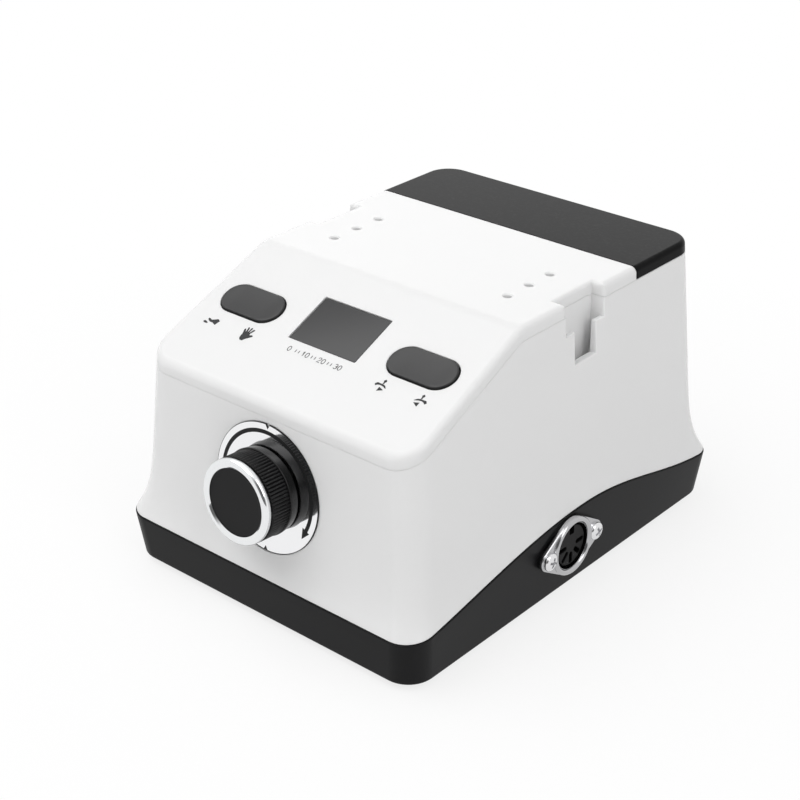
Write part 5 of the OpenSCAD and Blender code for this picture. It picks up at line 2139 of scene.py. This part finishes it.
@dataclass
class Inside:
    """Nodes of the frame that keep their shape and only get a finish."""

    finishes: dict[str, Finish] = field(default_factory=lambda: {
        "pot_body": ALLOY, "pot_nut": NICKEL, "pot_shaft": ALLOY, "display_module": FITTING_BLACK,
        "panel_board": BOARD, "panel_board_screws": ZINC, "mode_switch": FITTING_BLACK,
        "direction_switch": FITTING_BLACK, "socket_contacts": BRASS, "inlet_pins": BRASS,
        "transformer_core": CORE, "transformer_coil": COIL, "transformer_strap": ZINC,
        "transformer_screws": ZINC, "control_board": BOARD, "control_board_screws": ZINC,
        "capacitors": SLEEVE, "heat_sink": ALLOY, "board_plugs": NYLON, "board_fuse": FUSE,
    })

    def build(self) -> None:
        """Dresses the nodes."""
        for name, finish in self.finishes.items():
            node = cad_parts[name]
            node.data.materials.clear()
            node.data.materials.append(finish.material())
            LOG.info("%s: dressed in %s", name, finish.name)


@dataclass(frozen=True)
class Lamp:
    """A soft light that points at the object, in metres and watts."""

    name: str
    place: Spot
    size: Layer
    power: float
    aim: Spot = (0.0, 0.0, 0.04)

    def build(self) -> None:
        """Makes the light."""
        data = bpy.data.lights.new(self.name, "AREA")
        data.shape, data.energy = "RECTANGLE", self.power
        data.size, data.size_y = self.size
        lamp = bpy.data.objects.new(self.name, data)
        lamp.location = self.place
        lamp.rotation_mode = "QUATERNION"
        lamp.rotation_quaternion = (Vector(self.aim) - Vector(self.place)).to_track_quat("-Z", "Y")
        bpy.context.scene.collection.objects.link(lamp)


@dataclass
class Studio:
    """Camera, floor and light."""

    case: CaseForm
    azimuth: float = 40.71
    elevation: float = 27.53
    lens: float = 77.94
    sensor: float = 36.0
    clip: Layer = (0.01, 20.0)
    spot: Spot = (294.74, -355.96, 283.59)
    sky: float = 0.46
    # painted reflection: way, edges and depth of a dark patch that only glossy rays see, giving bright
    # metal dark streaks
    painted_reflection_way: Spot = (0.55, -0.81, 0.2)
    painted_reflection_edge: Layer = (0.72, 0.9)
    painted_reflection_share: float = 0.85
    floor_size: float = 6.0
    floor_tone: Colour = (0.9, 0.9, 0.9)
    floor_roughness: float = 0.8
    floor_specular: float = 0.1
    floor_fade: Layer = (0.08, 0.24)
    floor_near: float = 0.8
    lamps: tuple[Lamp, ...] = (
        Lamp("overhead", (-0.32, -0.32, 0.9), (1.12, 0.7), 5.8),
        Lamp("back_left", (-0.65, 0.75, 0.45), (0.9, 0.35), 0.95),
        Lamp("right", (0.8, -0.2, 0.78), (0.5, 0.8), 3.15),
    )

    def camera(self) -> None:
        """Makes the camera at the photograph's viewing angle."""
        data = bpy.data.cameras.new("camera")
        data.lens, data.sensor_width, data.dof.use_dof = self.lens, self.sensor, False
        data.clip_start, data.clip_end = self.clip
        camera = bpy.data.objects.new("camera", data)
        a, e = radians(self.azimuth), radians(self.elevation)
        back = Vector((sin(a) * cos(e), -cos(a) * cos(e), sin(e)))
        camera.rotation_mode = "QUATERNION"
        camera.rotation_quaternion = (-back).to_track_quat("-Z", "Y")
        camera.location = self.case.origin + Vector(self.spot) * MM
        bpy.context.scene.collection.objects.link(camera)
        bpy.context.scene.camera = camera

    def seen(self, nodes: Nodes) -> NodeSocket:
        """Tells the rays that show the background: straight, mirrored or through glass.

        Args:
            nodes: Nodes of the material or the world.

        Returns:
            A mask of those rays.
        """
        path = nodes.add("ShaderNodeLightPath").outputs
        mirrored = nodes.math("MAXIMUM", path["Is Glossy Ray"], path["Is Transmission Ray"])
        return nodes.math("MAXIMUM", path["Is Camera Ray"], mirrored)

    def world(self) -> None:
        """Makes the white surroundings, with a painted dark reflection to one side that only mirrors see.
        """
        world = bpy.data.worlds.new("studio")
        bpy.context.scene.world = world
        world.use_nodes = True
        nodes = Nodes(world.node_tree)
        seen = nodes.ramp(self.seen(nodes), span=(0.0, 1.0), ends=(self.sky, 1.0))
        way = nodes.add("ShaderNodeTexCoord").outputs["Generated"]
        facing = nodes.add("ShaderNodeVectorMath", {0: way, 1: self.painted_reflection_way}, operation="DOT_PRODUCT")
        # painted reflection: darkens the surroundings towards one side for glossy rays only
        dark = nodes.ramp(facing.outputs["Value"], span=self.painted_reflection_edge, ends=(0.0, self.painted_reflection_share))
        mirrored = nodes.add("ShaderNodeLightPath").outputs["Is Glossy Ray"]
        strength = nodes.math("SUBTRACT", seen, nodes.math("MULTIPLY", dark, mirrored))
        ground = world.node_tree.nodes["Background"]
        nodes.feed(ground, {"Color": rgba((1, 1, 1)), "Strength": strength})

    def floor(self) -> None:
        """Makes the pale floor, which fades into the white, keeps the shadow and is clear from below."""
        size = self.floor_size / 2
        corners = [(-size, -size, 0), (size, -size, 0), (size, size, 0), (-size, size, 0)]
        mesh = bpy.data.meshes.new("floor")
        mesh.from_pydata(corners, [], [(0, 1, 2, 3)])
        floor = bpy.data.objects.new("floor", mesh)
        bpy.context.scene.collection.objects.link(floor)
        material, nodes, shader = start_material("floor_white")
        nodes.feed(shader, {
            "Base Color": rgba(self.floor_tone), "Roughness": self.floor_roughness,
            "Specular IOR Level": self.floor_specular,
        })
        far = nodes.ramp(nodes.length(nodes.spot()), span=self.floor_fade, ends=(self.floor_near, 1.0))
        share = nodes.math("MULTIPLY", far, self.seen(nodes))
        white = nodes.add("ShaderNodeEmission", {"Color": rgba((1, 1, 1)), "Strength": 1.0}).outputs[0]
        blend = nodes.add("ShaderNodeMixShader", {0: share, 1: shader.outputs[0], 2: white}).outputs[0]
        below = nodes.add("ShaderNodeNewGeometry").outputs["Backfacing"]
        clear = nodes.add("ShaderNodeBsdfTransparent").outputs[0]
        surface = nodes.add("ShaderNodeMixShader", {0: below, 1: blend, 2: clear}).outputs[0]
        nodes.feed(material.node_tree.nodes["Material Output"], {"Surface": surface})
        mesh.materials.append(material)
        floor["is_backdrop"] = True

    def build(self) -> None:
        """Makes everything around the object."""
        bpy.context.scene.view_settings.view_transform = "Standard"
        self.world()
        self.floor()
        for lamp in self.lamps:
            lamp.build()


def main() -> None:
    """Builds the control box and its surroundings, and reports each piece."""
    logging.basicConfig(level=logging.INFO, format="%(name)s %(message)s")
    low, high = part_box("base_tray")
    case = CaseForm(Vector(((low.x + high.x) / 2, (low.y + high.y) / 2, 0.0)))
    studio = Studio(case)
    studio.camera()
    slots, knob, socket, panel = SlotForm(case), SpeedKnob(case), MotorSocket(), Panel(case)
    back, under = BackFittings(case), Underside(case)
    Tray(case).build(socket.place, socket.pitch / 2, under.posts)
    Walls(case, slots).build(knob.recesses(), [*knob.openings(), *back.openings()])
    Cover(case, slots).build(panel.recesses(), panel.openings())
    for part in (panel, knob, socket, back, under, Inside(), studio):
        part.build()
    boxes = {
        name: [list(corner) for corner in pair]
        for name, pair in (("cad", CAD_BOX), ("visual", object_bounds()))
    }


if __name__ == "__main__":
    main()
